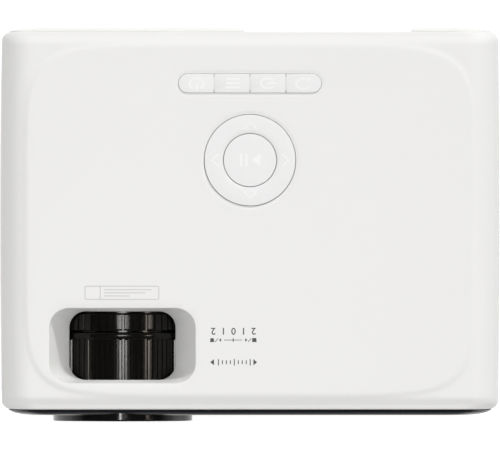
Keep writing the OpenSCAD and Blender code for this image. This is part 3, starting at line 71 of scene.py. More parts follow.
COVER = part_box("top_cover")
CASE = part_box("bottom_case")
HALF_W = COVER[1].x
FRONT, REAR = COVER[0].y, COVER[1].y
MID_Y = (FRONT + REAR) / 2
UNDER, TOP = CASE[0].z, COVER[1].z
SPLIT = CASE[1].z
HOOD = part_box("lens_hood")
LENS_X, LENS_Z = middle("ring_clip").x, middle("lens_mount").z
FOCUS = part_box("focus_ring")
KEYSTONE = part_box("keystone_ring")
RING_R = (FOCUS[1].x - FOCUS[0].x) / 2
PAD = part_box("nav_ring")
KEY_FLANGE = 1 * MM
PAD_X, PAD_Y = middle("nav_ring").xy
PAD_R = PAD[1].x - KEY_FLANGE
KEY_TOP = PAD[1].z
KEY_GAP = 0.3 * MM
KEYS = ["key_power", "key_menu", "key_source", "key_back"]
ROW_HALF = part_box("key_back")[1].x + KEY_GAP
ROW_Y = middle("key_power").y
ROW_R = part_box("key_power")[1].y - KEY_FLANGE - ROW_Y

# ---- Form of the sleeve ----

WALL = 2.4 * MM
EDGE_R = 13 * MM
CORNER_R = 4 * MM
SIDE_BOW = 0.7 * MM
SIDE_BULGE = 0.8 * MM
STEP = 0.5 * MM
BORDER_FALL = 1.2 * MM
BORDER_RUN = 5.2 * MM
RIM_R = 0.7 * MM
BORDER_DEPTH = 1.5 * EDGE_R
PLATEAU_A = HALF_W - 12.5 * MM
PLATEAU_B = (REAR - FRONT) / 2 - 6.5 * MM
PLATEAU_POWER = 7
STEP_IN, STEP_OUT = -0.9 * MM, 2.3 * MM
SHELL_TOP = TOP - STEP
FLAT_X = HALF_W - SIDE_BULGE - EDGE_R
ARC_LENGTH = EDGE_R * math.pi / 2
SEAM_R = 0.25 * MM
# The sides' bow starts at this share of the flat top, and is full this share of it further out
BOW_START, BOW_RUN = 0.8, 0.25

# Window over the lens rings
WINDOW_HALF_W, WINDOW_LOW_R, WINDOW_HIGH_R = 24.4 * MM, 7.5 * MM, 9.2 * MM
WINDOW_Y0, WINDOW_Y1 = FRONT + 13.5 * MM, FRONT + 45 * MM
WINDOW_Y = (WINDOW_Y0 + WINDOW_Y1) / 2
WINDOW_HALF_D = (WINDOW_Y1 - WINDOW_Y0) / 2
WINDOW_SIDE_LEAN, WINDOW_END_LEAN = 9.2 * MM, 1.5 * MM
WINDOW_RING_ROOM = 1.5 * MM
WINDOW_WALL_LEVELS = (0.02, 0.08, 0.25, 0.5, 0.75, 0.95, 0.99)
WINDOW_LIP, WINDOW_WALL = 0.25 * MM, 1.3 * MM


def smooth(t):
    t = np.clip(t, 0, 1)
    return t * t * (3 - 2 * t)


def round_drop(distance, radius):
    """How far a rounding of that radius draws a surface in, at a distance from its edge."""
    left = np.clip(radius - distance, 0, radius)
    return radius - np.sqrt(radius * radius - left * left)


def plateau_lift(x, y):
    """Height of the top's raised field above the shell, from its squircle outline."""
    u = np.abs(x) / PLATEAU_A
    v = np.abs(y - MID_Y) / PLATEAU_B
    reach = (u**PLATEAU_POWER + v**PLATEAU_POWER) ** (1 / PLATEAU_POWER) + 1e-9
    gx = (u / reach) ** (PLATEAU_POWER - 1) / PLATEAU_A
    gy = (v / reach) ** (PLATEAU_POWER - 1) / PLATEAU_B
    distance = (reach - 1) / np.maximum(np.sqrt(gx * gx + gy * gy), 1e-6)
    return STEP * (1 - smooth((distance - STEP_IN) / (STEP_OUT - STEP_IN)))


def plateau_points(grow, count):
    """Points of the plateau's outline, grown by a distance."""
    a = (np.arange(count) + 0.5) * 2 * math.pi / count
    x, y = (np.sign(t) * np.abs(t) ** (2 / PLATEAU_POWER) for t in (np.cos(a), np.sin(a)))
    return np.stack([(PLATEAU_A + grow) * x, MID_Y + (PLATEAU_B + grow) * y], axis=1)


def sleeve_point(s, y, upper, inset=0.0):
    """Points of the sleeve at arc length s from its middle line and depth y, on one half."""
    side, a = np.sign(s), np.abs(s)
    angle = np.clip((a - FLAT_X) / EDGE_R, 0, math.pi / 2)
    nx, nz = np.sin(angle), np.cos(angle)
    down = np.clip(a - FLAT_X - ARC_LENGTH, 0, None)
    t = EDGE_R * (1 - nz) + down
    height = SHELL_TOP - UNDER
    bulge = SIDE_BULGE * (1 - (2 * t / height - 1) ** 2)
    x = np.where(a <= FLAT_X, a, np.minimum(a, FLAT_X) + EDGE_R * nx + bulge)
    end = np.minimum(y - FRONT, REAR - y)
    share = (y - FRONT) / (REAR - FRONT)
    bow = SIDE_BOW * (1 - 4 * share * (1 - share))
    corner = round_drop(end, CORNER_R)
    x = x - (bow + corner) * smooth((a - BOW_START * FLAT_X) / (FLAT_X * BOW_RUN))
    fall = BORDER_FALL * (1 - smooth((end - RIM_R) / BORDER_RUN)) * (1 - smooth(t / BORDER_DEPTH))
    t = t + (fall if upper else 0)
    lift = plateau_lift(side * x, y) if upper else 0
    x = x - inset * nx
    t = t + inset * nz - lift
    z = SHELL_TOP - t if upper else UNDER + t
    return np.stack([side * x, y, z], axis=-1)


def s_of_z(z, upper):
    """Arc length on the right side wall at height z."""
    t = SHELL_TOP - z if upper else z - UNDER
    if t < EDGE_R:
        return FLAT_X + EDGE_R * math.acos(1 - t / EDGE_R)
    return FLAT_X + ARC_LENGTH + t - EDGE_R


# ---- Materials ----


def feed(tree, socket, value):
    """Sets a node's input to a value, or joins another node's output to it."""
    if isinstance(value, bpy.types.NodeSocket):
        tree.links.new(value, socket)
    else:
        socket.default_value = value


def add_node(tree, kind, output, inputs, **settings):
    """New node with its settings and inputs. Gives the output of that name."""
    node = tree.nodes.new(kind)
    for name, value in settings.items():
        setattr(node, name, value)
    for name, value in inputs.items():
        feed(tree, node.inputs[name], value)
    return node.outputs[output]


class Shader:
    """A procedural material: a Principled surface with helpers for noise and bumps."""

    def __init__(self, name, color, roughness, metallic=0.0, specular=0.5):
        self.material = bpy.data.materials.new(name)
        self.material.use_nodes = True
        self.tree = self.material.node_tree
        self.surface = self.tree.nodes["Principled BSDF"]
        self.set("Base Color", (*color, 1))
        self.set("Roughness", roughness)
        self.set("Metallic", metallic)
        self.set("Specular IOR Level", specular)
        self.place = add_node(self.tree, "ShaderNodeTexCoord", "Object", {})

    def set(self, name, value):
        feed(self.tree, self.surface.inputs[name], value)

    def noise(self, scale, detail, stretch):
        """Noise between 0 and 1, with scale in features per metre along each stretched axis."""
        inputs = {"Vector": self.place, "Scale": stretch}
        place = add_node(self.tree, "ShaderNodeMapping", "Vector", inputs)
        inputs = {"Vector": place, "Scale": scale, "Detail": detail}
        return add_node(self.tree, "ShaderNodeTexNoise", "Fac", inputs)

    def vary_roughness(self, scale, low, high, stretch=(1, 1, 1)):
        inputs = {"Value": self.noise(scale, 3, stretch), "To Min": low, "To Max": high}
        self.set("Roughness", add_node(self.tree, "ShaderNodeMapRange", "Result", inputs))

    def vary_color(self, scale, first, second, stretch=(1, 1, 1)):
        inputs = {"Factor": self.noise(scale, 2, stretch), "A": (*first, 1), "B": (*second, 1)}
        self.set("Base Color", add_node(self.tree, "ShaderNodeMix", "Result", inputs, data_type="RGBA"))

    def bump(self, scale, height, stretch=(1, 1, 1)):
        """Fine relief of that height in metres."""
        inputs = {"Height": self.noise(scale, 2, stretch), "Strength": 1.0, "Distance": height}
        self.set("Normal", add_node(self.tree, "ShaderNodeBump", "Normal", inputs))


# Features per metre of the slow drift of colour and of the finer one of roughness
COLOR_DRIFT, ROUGHNESS_DRIFT = 35, 900


def moulded(name, color, roughness, grain=2600, relief=0.006 * MM, specular=0.4):
    """Moulded plastic with a fine spark-eroded grain and a slight drift of colour."""
    shader = Shader(name, color, roughness, specular=specular)
    shader.vary_color(COLOR_DRIFT, color, tuple(c * (1 - 0.012) for c in color))
    shader.vary_roughness(ROUGHNESS_DRIFT, roughness * 0.93, roughness * 1.07)
    shader.bump(grain, relief)
    return shader.material


def sheet_metal(name, color, roughness, stretch):
    """Rolled metal with fine lines along one way."""
    shader = Shader(name, color, roughness, metallic=1.0)
    shader.vary_color(300, color, tuple(c * 0.9 for c in color), stretch)
    shader.vary_roughness(500, roughness - 0.06, roughness + 0.1, stretch)
    shader.bump(1500, 0.004 * MM, stretch)
    return shader.material


def lens_glass(name, tint, coat):
    """Clear glass with a coloured coating that shows in the reflection."""
    shader = Shader(name, tint, 0.02)
    shader.set("Transmission Weight", 1.0)
    shader.set("IOR", 1.52)
    shader.set("Specular Tint", (*coat, 1))
    shader.vary_roughness(200, 0.01, 0.03)
    return shader.material


TRACK_GRID = 420


def circuit_board(name):
    """Green solder mask with faint tracks in it."""
    mask, track = (0.012, 0.10, 0.04), (0.02, 0.19, 0.075)
    shader = Shader(name, mask, 0.35)
    edge = add_node(
        shader.tree, "ShaderNodeTexVoronoi", "Distance", {"Vector": shader.place, "Scale": TRACK_GRID},
        feature="DISTANCE_TO_EDGE", distance="MANHATTAN")
    color = add_node(shader.tree, "ShaderNodeValToRGB", "Color", {"Fac": edge})
    for stop, position, value in zip(color.node.color_ramp.elements, (0.05, 0.09), (track, mask)):
        stop.position = position
        stop.color = (*value, 1)
    shader.set("Base Color", color)
    shader.bump(TRACK_GRID, 0.01 * MM)
    return shader.material


GLYPH = moulded("raised mark plastic", (0.9, 0.9, 0.895), 0.46, relief=0.002 * MM, specular=0.3)
# Grey of the label field's moulded groove lines: painted shade, standing in for the shade inside the
# groove on the white plastic
GROOVE_SHADE = moulded("painted groove shade line", (0.6, 0.6, 0.595), 0.5)
INK = moulded("grey print", (0.075, 0.075, 0.08), 0.55, relief=0.002 * MM)

POLISHED = 0.0005 * MM

SLOT_MATERIALS = {
    "white_shell": moulded("white shell plastic", (0.835, 0.83, 0.815), 0.5, specular=0.3),
    "white_keys": moulded(
        "white key plastic", (0.835, 0.835, 0.83), 0.46, relief=0.003 * MM, specular=0.3),
    "black_panel": moulded(
        "satin black panel", (0.009, 0.01, 0.012), 0.26, grain=3200, relief=0.003 * MM, specular=0.25),
    "black_gloss": moulded("glossy black hood", (0.004, 0.004, 0.004), 0.09, relief=POLISHED),
    "black_ribbed": moulded(
        "satin black ring", (0.005, 0.0045, 0.004), 0.16, relief=POLISHED, specular=0.25),
    "black_inner": moulded("matt black plastic", (0.03, 0.03, 0.032), 0.5),
    "lens_glass": lens_glass("coated lens glass", (0.93, 0.97, 1.0), (0.55, 0.6, 1.0)),
    "lcd_glass": moulded("liquid crystal glass", (0.03, 0.035, 0.05), 0.08, relief=POLISHED),
    "steel": sheet_metal("rolled steel", (0.56, 0.57, 0.585), 0.3, (1, 12, 1)),
    "aluminium": sheet_metal("extruded aluminium", (0.78, 0.785, 0.8), 0.34, (14, 1, 14)),
    "brass": sheet_metal("turned brass", (0.8, 0.62, 0.3), 0.28, (1, 1, 20)),
    "board": circuit_board("green circuit board"),
    "board_parts": moulded("moulded electronic parts", (0.035, 0.035, 0.04), 0.42),
    "dark_red": moulded("dark red window", (0.06, 0.006, 0.006), 0.12, relief=POLISHED),
    "rubber": moulded("matt rubber", (0.02, 0.02, 0.02), 0.72, grain=1800, relief=0.015 * MM)}

# ---- Mesh building ----


class Build:
    """Collects points and faces of one mesh."""

    def __init__(self):
        self.points = []
        self.faces = []

    def add(self, points):
        start = len(self.points)
        self.points += [tuple(float(c) for c in p) for p in points]
        return list(range(start, len(self.points)))

    def bridge(self, a, b):
        count = len(a)
        for i in range(count):
            j = (i + 1) % count
            self.faces.append((a[i], a[j], b[j], b[i]))

    def loft(self, loops, ring=False):
        """Joins loops of points, and closes the ends or joins the last loop to the first."""
        ids = [self.add(loop) for loop in loops]
        for a, b in zip(ids, ids[1:]):
            self.bridge(a, b)
        if ring:
            self.bridge(ids[-1], ids[0])
        else:
            self.faces.append(tuple(reversed(ids[0])))
            self.faces.append(tuple(ids[-1]))

    def post(self, x, y, z0, z1, r, count=24):
        """Upright cylinder."""
        self.loft([ring_loop(x, y, z, r, count) for z in (z0, z1)])


def ring_loop(x, y, z, r, count):
    a = np.arange(count) * 2 * math.pi / count
    return np.stack([x + r * np.cos(a), y + r * np.sin(a), np.full(count, z)], axis=1)


def at_height(flat, z):
    """Flat loop of points lifted to a height."""
    return np.column_stack([flat, np.full(len(flat), z)])


WELD = 1e-6


def weld_mesh(mesh):
    """Welds equal points and turns the faces outward."""
    bm = bmesh.new()
    bm.from_mesh(mesh)
    bmesh.ops.remove_doubles(bm, verts=bm.verts, dist=WELD)
    bmesh.ops.dissolve_degenerate(bm, edges=bm.edges, dist=WELD / 10)
    bmesh.ops.recalc_face_normals(bm, faces=bm.faces)
    bm.to_mesh(mesh)
    bm.free()


def new_object(name, data):
    obj = bpy.data.objects.new(name, data)
    bpy.context.scene.collection.objects.link(obj)
    return obj


stood_for = set()


def make(name, build, body, slot, sharp, stands_for=(), material=None):
    """One piece from a mesh build: welded, with outward faces, smooth up to the sharp angle."""
    mesh = bpy.data.meshes.new(name)
    mesh.from_pydata(build.points, [], build.faces)
    mesh.validate()
    obj = new_object(name, mesh)
    weld_mesh(mesh)
    mesh.polygons.foreach_set("use_smooth", [True] * len(mesh.polygons))
    mesh.set_sharp_from_angle(angle=math.radians(sharp))
    mesh.materials.append(material or SLOT_MATERIALS[slot])
    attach(obj, body)
    if stands_for:
        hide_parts(*stands_for)
        stood_for.update(stands_for)


# ---- Outlines ----


def quarter_turn(k):
    """Unit vector k quarter turns from +X."""
    a = math.pi / 2 * k
    return np.array([math.cos(a), math.sin(a)])


def rounded(shape, legs, grow=0.0):
    """Rounded rectangle (cx, cy, half_w, half_d, r) from its right side on, counter-clockwise.

    legs are the points on a side along Y, on a corner and on a side along X.
    """
    cx, cy, half_w, half_d, r = shape
    sx, sy = half_w - r, half_d - r
    r = r + grow
    corners = np.array([(sx, sy), (-sx, sy), (-sx, -sy), (sx, -sy)])
    points = []
    for k, corner in enumerate(corners):
        last = corners[k - 1]
        count = legs[0] if k % 2 == 0 else legs[2]
        for i in range(count):
            points.append(last + (corner - last) * i / count + r * quarter_turn(k))
        for i in range(legs[1]):
            points.append(corner + r * quarter_turn(k + i / legs[1]))
    return np.array(points) + (cx, cy)


def legs_of(shape, step):
    """Points per side and corner of a rounded rectangle, about a step apart."""
    _, _, half_w, half_d, r = shape
    straight = (2 * (half_d - r), 2 * (half_w - r))
    side, end = (0 if length < 2e-6 else max(1, round(length / step)) for length in straight)
    return side, max(4, round(r * math.pi / 2 / step)), end


class Opening:
    """A hole through a sheet, with rings round it that dip or are bevelled.

    rings are (distance from the hole's edge, depth below the sheet), from the edge outwards.
    """

    def __init__(self, cx, cy, half_w, half_d, r, rings, step=1 * MM):
        self.shape = (cx, cy, half_w, half_d, min(r, half_w, half_d))
        self.rings = rings
        self.legs = legs_of(self.shape, step)

    def loop(self, grow):
        return rounded(self.shape, self.legs, grow)

    def inside(self, points, grow):
        """Which points lie inside the hole, grown by a distance."""
        cx, cy, half_w, half_d, r = self.shape
        dx = np.maximum(np.abs(points[:, 0] - cx) - (half_w - r), 0)
        dy = np.maximum(np.abs(points[:, 1] - cy) - (half_d - r), 0)
        return np.hypot(dx, dy) < r + grow


# Rings round an opening: a cut corner, a rounded one, and the dish round the keys
CHAMFER = past(0, 0, (0, 0.25), (0.08, 0.1), (0.25, 0))
SOFT = past(0, 0, (0, 0.32), (0.05, 0.16), (0.16, 0.05), (0.34, 0))
DISH = past(0, 0, (0, 0.42), (0.05, 0.34), (0.35, 0.3), (0.75, 0.2), (1.15, 0.07), (1.5, 0.015), (1.9, 0))


def round_opening(x, y, r, rings, step=1 * MM):
    return Opening(x, y, r, r, r, rings, step)


def grid_lines(marks, step):
    """Ascending positions through all the marks, no further apart than the step."""
    lines = [marks[0]]
    for a, b in zip(marks, marks[1:]):
        parts = max(1, math.ceil((b - a) / step - 1e-6))
        lines += [a + (b - a) * (i + 1) / parts for i in range(parts)]
    return lines


# Free points keep this far from an opening's outer ring
FREE_ROOM = 0.35 * MM


def sheet_mesh(outline, openings, free):
    """Flat triangulation inside an outline: points, triangles, depth of each point, hole loops."""
    loops = [np.array(outline)]
    depths = [np.zeros(len(outline))]
    for opening in openings:
        for distance, depth in opening.rings:
            loop = opening.loop(distance)
            loops.append(loop)
            depths.append(np.full(len(loop), depth))
    free = np.array(free)
    keep = inside_loop(free, loops[0])
    for opening in openings:
        keep &= ~opening.inside(free, opening.rings[-1][0] + FREE_ROOM)
    free = free[keep]
    points = np.concatenate(loops + [free])
    depth = np.concatenate(depths + [np.zeros(len(free))])
    edges, ids, start = [], [], 0
    for loop in loops:
        count = len(loop)
        ids.append(range(start, start + count))
        edges += [(start + i, start + (i + 1) % count) for i in range(count)]
        start += count
    places, _, faces, origins, *_ = delaunay_2d_cdt([Vector(p) for p in points], edges, [], 0, 1e-9)
    places = np.array([tuple(v) for v in places])
    index = {o: i for i, group in enumerate(origins) for o in group}
    depth = np.array([depth[group[0]] if group else 0.0 for group in origins])
    triangles = np.array([t for t in faces if len(t) == 3])
    centres = places[triangles].mean(axis=1)
    keep = inside_loop(centres, loops[0])
    for opening in openings:
        keep &= ~opening.inside(centres, -1e-7)
    boundary = [[index[i] for i in ids[0]]]
    at = 1
    for opening in openings:
        boundary.append([index[i] for i in ids[at]])
        at += len(opening.rings)
    return places, triangles[keep], depth, boundary


def inside_loop(points, loop):
    """Even-odd test of points against a closed outline."""
    inside = np.zeros(len(points), bool)
    ax, ay = loop[:, 0], loop[:, 1]
    bx, by = np.roll(ax, -1), np.roll(ay, -1)
    for x0, y0, x1, y1 in zip(ax, ay, bx, by):
        if y0 == y1:
            continue
        crosses = (y0 > points[:, 1]) != (y1 > points[:, 1])
        at = (x1 - x0) * (points[:, 1] - y0) / (y1 - y0) + x0
        inside ^= crosses & (points[:, 0] < at)
    return inside


# ---- Housing halves ----

ARC_STEPS = 18
RIM_LINES = [0, 0.06, 0.2, 0.42, 0.7, 1.5, 2.4, 3.3, 4.1, 4.8, 5.5, 6.2, 6.9, 7.6, 8.4]
PLATEAU_BANDS = [-1.2, -0.7, -0.2, 0.3, 0.8, 1.3, 1.8, 2.4]
PLATEAU_COUNT = 360
# Grid steps over the flat top, in the band along its edges, down the sides and along the depth
TOP_STEP, BAND_STEP, SIDE_STEP, DEPTH_STEP = 4 * MM, 0.8 * MM, 5 * MM, 3.5 * MM
BAND = 6 * MM


def sleeve_half(upper, openings):
    """Closed shell of one half of the sleeve, and the outer and inner loop of every opening."""
    s_end = s_of_z(SPLIT, upper)
    arc_marks = [FLAT_X + ARC_LENGTH * i / ARC_STEPS for i in range(ARC_STEPS + 1)]
    half = grid_lines([0, BOW_START * FLAT_X, FLAT_X - BAND], TOP_STEP)
    half += grid_lines([FLAT_X - BAND, FLAT_X], BAND_STEP)[1:-1] + arc_marks
    half += grid_lines([arc_marks[-1], s_end - SEAM_R], SIDE_STEP)[1:] + [s_end - 0.4 * SEAM_R, s_end]
    s_lines = [-s for s in reversed(half)] + half[1:]
    rim = [r * MM for r in RIM_LINES]
    y_lines = [FRONT + r for r in rim]
    y_lines += grid_lines([FRONT + rim[-1], REAR - rim[-1]], DEPTH_STEP)[1:-1]
    y_lines += [REAR - r for r in reversed(rim)]
    outline = [(s, y_lines[0]) for s in s_lines] + [(s_lines[-1], y) for y in y_lines[1:]]
    outline += [(s, y_lines[-1]) for s in reversed(s_lines[:-1])]
    outline += [(s_lines[0], y) for y in y_lines[-2:0:-1]]
    free = [(s, y) for s in s_lines[1:-1] for y in y_lines[1:-1]]
    if upper:
        for grow in PLATEAU_BANDS:
            free += [*plateau_points(grow * MM, PLATEAU_COUNT)]
    flat, triangles, depth, boundary = sheet_mesh(outline, openings, free)
    s, y = flat[:, 0], flat[:, 1]
    end = np.minimum(y - FRONT, REAR - y)
    depth = depth + round_drop(end, RIM_R) + round_drop(s_end - np.abs(s), SEAM_R)
    outer = sleeve_point(s, y, upper)
    inner = sleeve_point(s, y, upper, WALL)
    toward = inner - outer
    toward /= np.linalg.norm(toward, axis=1)[:, None]
    outer = outer + toward * depth[:, None]
    build = Build()
    build.add(outer)
    offset = build.add(inner)[0]
    for t in triangles:
        a, b, c = (int(i) for i in t)
        build.faces.append((a, b, c))
        build.faces.append((c + offset, b + offset, a + offset))
    rims = [(loop, [i + offset for i in loop]) for loop in boundary]
    build.bridge(rims[0][0], rims[0][1])
    return build, rims[1:]


PORT_GAP = 0.3 * MM
SOCKET_Z0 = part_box("usb_port")[0].z
HDMI_W, HDMI_H = 15 * MM, 5.6 * MM
JACK_R = 3.65 * MM


def wall_opening(y, z, width, height, r):
    """Opening in the right side wall round a socket, with its middle at y and z."""
    half_w, half_h = width / 2 + PORT_GAP, height / 2 + PORT_GAP
    return Opening(s_of_z(z, True), y, half_h, half_w, r, CHAMFER, 0.5 * MM)


def socket_opening(node, r):
    low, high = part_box(node)
    return wall_opening((low.y + high.y) / 2, (low.z + high.z) / 2, high.y - low.y, high.z - low.z, r)


def pair_openings(node, width, height, r):
    """Openings round the two sockets that share one node, at its two ends along Y."""
    low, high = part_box(node)
    places = (low.y + width / 2, high.y - width / 2)
    return [wall_opening(y, SOCKET_Z0 + height / 2, width, height, r) for y in places]


def window_low(x):
    """Height of the window's lower edge, which follows the rings."""
    return LENS_Z + np.sqrt((RING_R + WINDOW_RING_ROOM) ** 2 - (x - LENS_X) ** 2)


def add_window(build, outer, inner, legs):
    """Walls of the recess, from the opening's edge down to the rings and back up outside."""
    shape = (LENS_X, WINDOW_Y, WINDOW_HALF_W, WINDOW_HALF_D, WINDOW_LOW_R)
    top = np.array([build.points[i] for i in outer])
    low = rounded(shape, legs)
    low = np.column_stack([low, window_low(low[:, 0])])
    wide = rounded(shape, legs, WINDOW_WALL)
    wide = np.column_stack([wide, window_low(wide[:, 0]) - 0.2 * MM])
    rows = [top * (1 - t) + low * t for t in WINDOW_WALL_LEVELS]
    last = outer
    for points in rows + [low - (0, 0, WINDOW_LIP), wide]:
        loop = build.add(points)
        build.bridge(last, loop)
        last = loop
    build.bridge(last, inner)


# How far a post or sleeve reaches into its wall, and the room round a piece that fits its hole
ROOT, FIT = 0.3 * MM, 0.05 * MM
BOSS_R = 4 * MM
CASE_POST_X, CASE_POST_FRONT, CASE_POST_REAR = 104 * MM, FRONT + 9 * MM, REAR - 8.7 * MM
CASE_POSTS = [(x, y) for x in (-CASE_POST_X, CASE_POST_X) for y in (CASE_POST_FRONT, CASE_POST_REAR)]
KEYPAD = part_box("keypad_board")
KEYPAD_POST_X, KEYPAD_POST_IN, KEYPAD_POST_R = 31 * MM, 3.5 * MM, 3 * MM
KEY_OPENING_STEP = 0.6 * MM


def top_cover():
    pill = Opening(0, ROW_Y, ROW_HALF, ROW_R, ROW_R, DISH, KEY_OPENING_STEP)
    pad = round_opening(PAD_X, PAD_Y, PAD_R, DISH, KEY_OPENING_STEP)
    window = Opening(
        LENS_X, WINDOW_Y, WINDOW_HALF_W + WINDOW_SIDE_LEAN, WINDOW_HALF_D + WINDOW_END_LEAN,
        WINDOW_HIGH_R, SOFT, 0.7 * MM)
    openings = [pill, pad, window]
    openings += [socket_opening(node, 0.5 * MM) for node in ("usb_port", "card_slot")]
    openings.append(socket_opening("ir_window", 3.3 * MM))
    openings += pair_openings("hdmi_ports", HDMI_W, HDMI_H, 0.8 * MM)
    openings += pair_openings("audio_jacks", 2 * JACK_R, 2 * JACK_R, JACK_R + PORT_GAP)
    build, rims = sleeve_half(True, openings)
    for opening, (outer, inner) in zip(openings, rims):
        if opening is window:
            add_window(build, outer, inner, window.legs)
        else:
            build.bridge(outer, inner)
    for x, y in CASE_POSTS:
        build.post(x, y, SPLIT, SHELL_TOP - 3 * MM, BOSS_R)
    for x in (-KEYPAD_POST_X, KEYPAD_POST_X):
        for y in (KEYPAD[0].y + KEYPAD_POST_IN, KEYPAD[1].y - KEYPAD_POST_IN):
            build.post(x, y, KEYPAD[1].z - 1 * MM, TOP - WALL + ROOT, KEYPAD_POST_R)
    make("top_cover_shell", build, "housing", "white_shell", sharp=50, stands_for=["top_cover"])


def bottom_case():
    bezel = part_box("tray_bezel")
    s0, s1 = s_of_z(bezel[0].z - PORT_GAP, False), s_of_z(bezel[1].z + PORT_GAP, False)
    mouth = Opening(
        -(s0 + s1) / 2, (bezel[0].y + bezel[1].y) / 2, (s1 - s0) / 2,
        (bezel[1].y - bezel[0].y) / 2 + PORT_GAP, 0.6 * MM, CHAMFER)
    build, rims = sleeve_half(False, [mouth] + underside_openings())
    for outer, inner in rims:
        build.bridge(outer, inner)
    for x, y in CASE_POSTS:
        build.post(x, y, UNDER + WALL, SPLIT, BOSS_R)
    add_floor_bosses(build)
    make("bottom_case_shell", build, "housing", "white_shell", sharp=50, stands_for=["bottom_case"])


HEAD_HOLE_R, SCREW_R = 3 * MM, 1.6 * MM
GRILLE_PITCH, GRILLE_HALF_SLOT, GRILLE_R = 4 * MM, 1 * MM, 13 * MM
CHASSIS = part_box("drive_chassis")
DRIVE_POST_LEFT, DRIVE_POST_RIGHT = CHASSIS[0].x + 12 * MM, CHASSIS[1].x - 8 * MM
DRIVE_POSTS = [
    (x, MID_Y + side * 48 * MM) for x in (DRIVE_POST_LEFT, DRIVE_POST_RIGHT) for side in (-1, 1)]
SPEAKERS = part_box("speakers")
SPEAKER_R = 17 * MM
TRIPOD = middle("tripod_insert")
TRIPOD_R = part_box("tripod_insert")[1].x - TRIPOD.x
FOOT = middle("foot_screw")
FOOT_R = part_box("foot_screw")[1].x - FOOT.x


def underside_openings():
    """Holes in the floor: screw heads, speaker grilles, tripod socket and adjustable foot."""
    holes = [round_opening(x, y, HEAD_HOLE_R, CHAMFER) for x, y in CASE_POSTS + DRIVE_POSTS]
    for x in (SPEAKERS[0].x + SPEAKER_R, SPEAKERS[1].x - SPEAKER_R):
        y = (SPEAKERS[0].y + SPEAKERS[1].y) / 2
        for i in range(-3, 4):
            half = math.sqrt(GRILLE_R**2 - (GRILLE_PITCH * i) ** 2)
            holes.append(Opening(
                x + GRILLE_PITCH * i, y, GRILLE_HALF_SLOT, half, GRILLE_HALF_SLOT, CHAMFER, 1.2 * MM))
    for place, r in ((TRIPOD, TRIPOD_R), (FOOT, FOOT_R)):
        holes.append(round_opening(place.x, place.y, r + FIT, CHAMFER))
    return holes


def add_floor_bosses(build):
    """Sleeves that stand on the floor round the screws, the tripod socket and the foot."""
    floor = UNDER + WALL - ROOT
    for x, y in DRIVE_POSTS:
        add_sleeve(build, x, y, floor, CHASSIS[0].z - FIT, BOSS_R, SCREW_R)
    add_sleeve(build, TRIPOD.x, TRIPOD.y, floor, CHASSIS[0].z - 0.3 * MM, 8 * MM, TRIPOD_R + FIT)
    foot_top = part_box("foot_screw")[1].z - 2 * MM
    add_sleeve(build, FOOT.x, FOOT.y, floor, foot_top, FOOT_R + 3 * MM, FOOT_R + FIT)


def add_sleeve(build, x, y, z0, z1, r_out, r_in, count=32):
    loops = [(z0, r_out), (z1 - 0.3 * MM, r_out), (z1, r_out - 0.3 * MM), (z1, r_in), (z0, r_in)]
    build.loft([ring_loop(x, y, z, r, count) for z, r in loops], ring=True)


top_cover()
bottom_case()

# ---- Lens hood and rings ----


def round_axis(y, radii, a):
    """Loop round the lens axis at depth y."""
    depth = np.full(len(a), y)
    return np.stack([LENS_X + radii * np.cos(a), depth, LENS_Z + radii * np.sin(a)], axis=1)


def arc_profile(y, r, radius, start, end, steps):
    """Rounding in a (depth, radius) profile, about the centre (y, r)."""
    turns = np.radians(np.linspace(start, end, steps + 1))
    return [(y + radius * math.sin(a), r + radius * math.cos(a)) for a in turns]


HOOD_R, HOOD_EDGE, HOOD_FUNNEL = 32.15 * MM, 0.6 * MM, 5.6 * MM
HOOD_FLANGE, HOOD_THROAT = 1.4 * MM, 24.55 * MM
HOOD_COUNT = 160


def lens_hood():
    """Closed ring round the lens axis, from (depth, radius) pairs."""
    y0, y1 = HOOD[0].y, HOOD[1].y
    flange_y, flange_r = y1 - HOOD_FLANGE, HOOD[1].x - LENS_X
    profile = [
        (y0 + HOOD_FUNNEL, HOOD_THROAT), (y0 + 0.3 * MM, HOOD_R - 2.4 * MM), (y0, HOOD_R - 1.9 * MM)]
    profile += arc_profile(y0 + HOOD_EDGE, HOOD_R - HOOD_EDGE, HOOD_EDGE, -90, 0, 8)
    profile.append((y0 + 1.2 * HOOD_EDGE, HOOD_R))
    profile += [(flange_y, HOOD_R), (flange_y, flange_r), (y1, flange_r), (y1, HOOD_THROAT)]
    a = np.arange(HOOD_COUNT) * 2 * math.pi / HOOD_COUNT
    build = Build()
    build.loft([round_axis(y, r, a) for y, r in profile], ring=True)
    make("lens_hood_shell", build, "housing", "black_gloss", sharp=40, stands_for=["lens_hood"])


def rib_drop(count, share, flank):
    """Angles round a ribbed ring and how deep each point lies, from 0 on a crown to 1 in a groove.

    share is the part of its pitch that a rib takes, and flank the part that each of its sides takes.
    """
    side = [(0.0, 1.0), (flank, 0.0)]
    rib = side + [(share / 2, 0.0)] + [(share - u, d) for u, d in reversed(side)]
    rib.append(((1 + share) / 2, 1.0))
    turns = np.array([(k + u) / count for k in range(count) for u, _ in rib])
    drops = np.array([d for _ in range(count) for _, d in rib])
    return turns * 2 * math.pi, drops


RIB_DEPTH = 0.6 * MM
GROOVE_R = RING_R - RIB_DEPTH
FOCUS_RIBS, FOCUS_SHARE, FOCUS_FLANK = 72, 0.66, 0.16
KEYSTONE_RIBS, KEYSTONE_SHARE, KEYSTONE_FLANK = 52, 0.78, 0.09
COLLAR = 3 * MM
BORE_R = 27.05 * MM


def rib_rows(y, r, *rows):
    """Rows of a ribbed ring, from steps in mm past a depth and a radius."""
    return [(y + dy * MM, r + dr * MM, ribs) for dy, dr, ribs in rows]


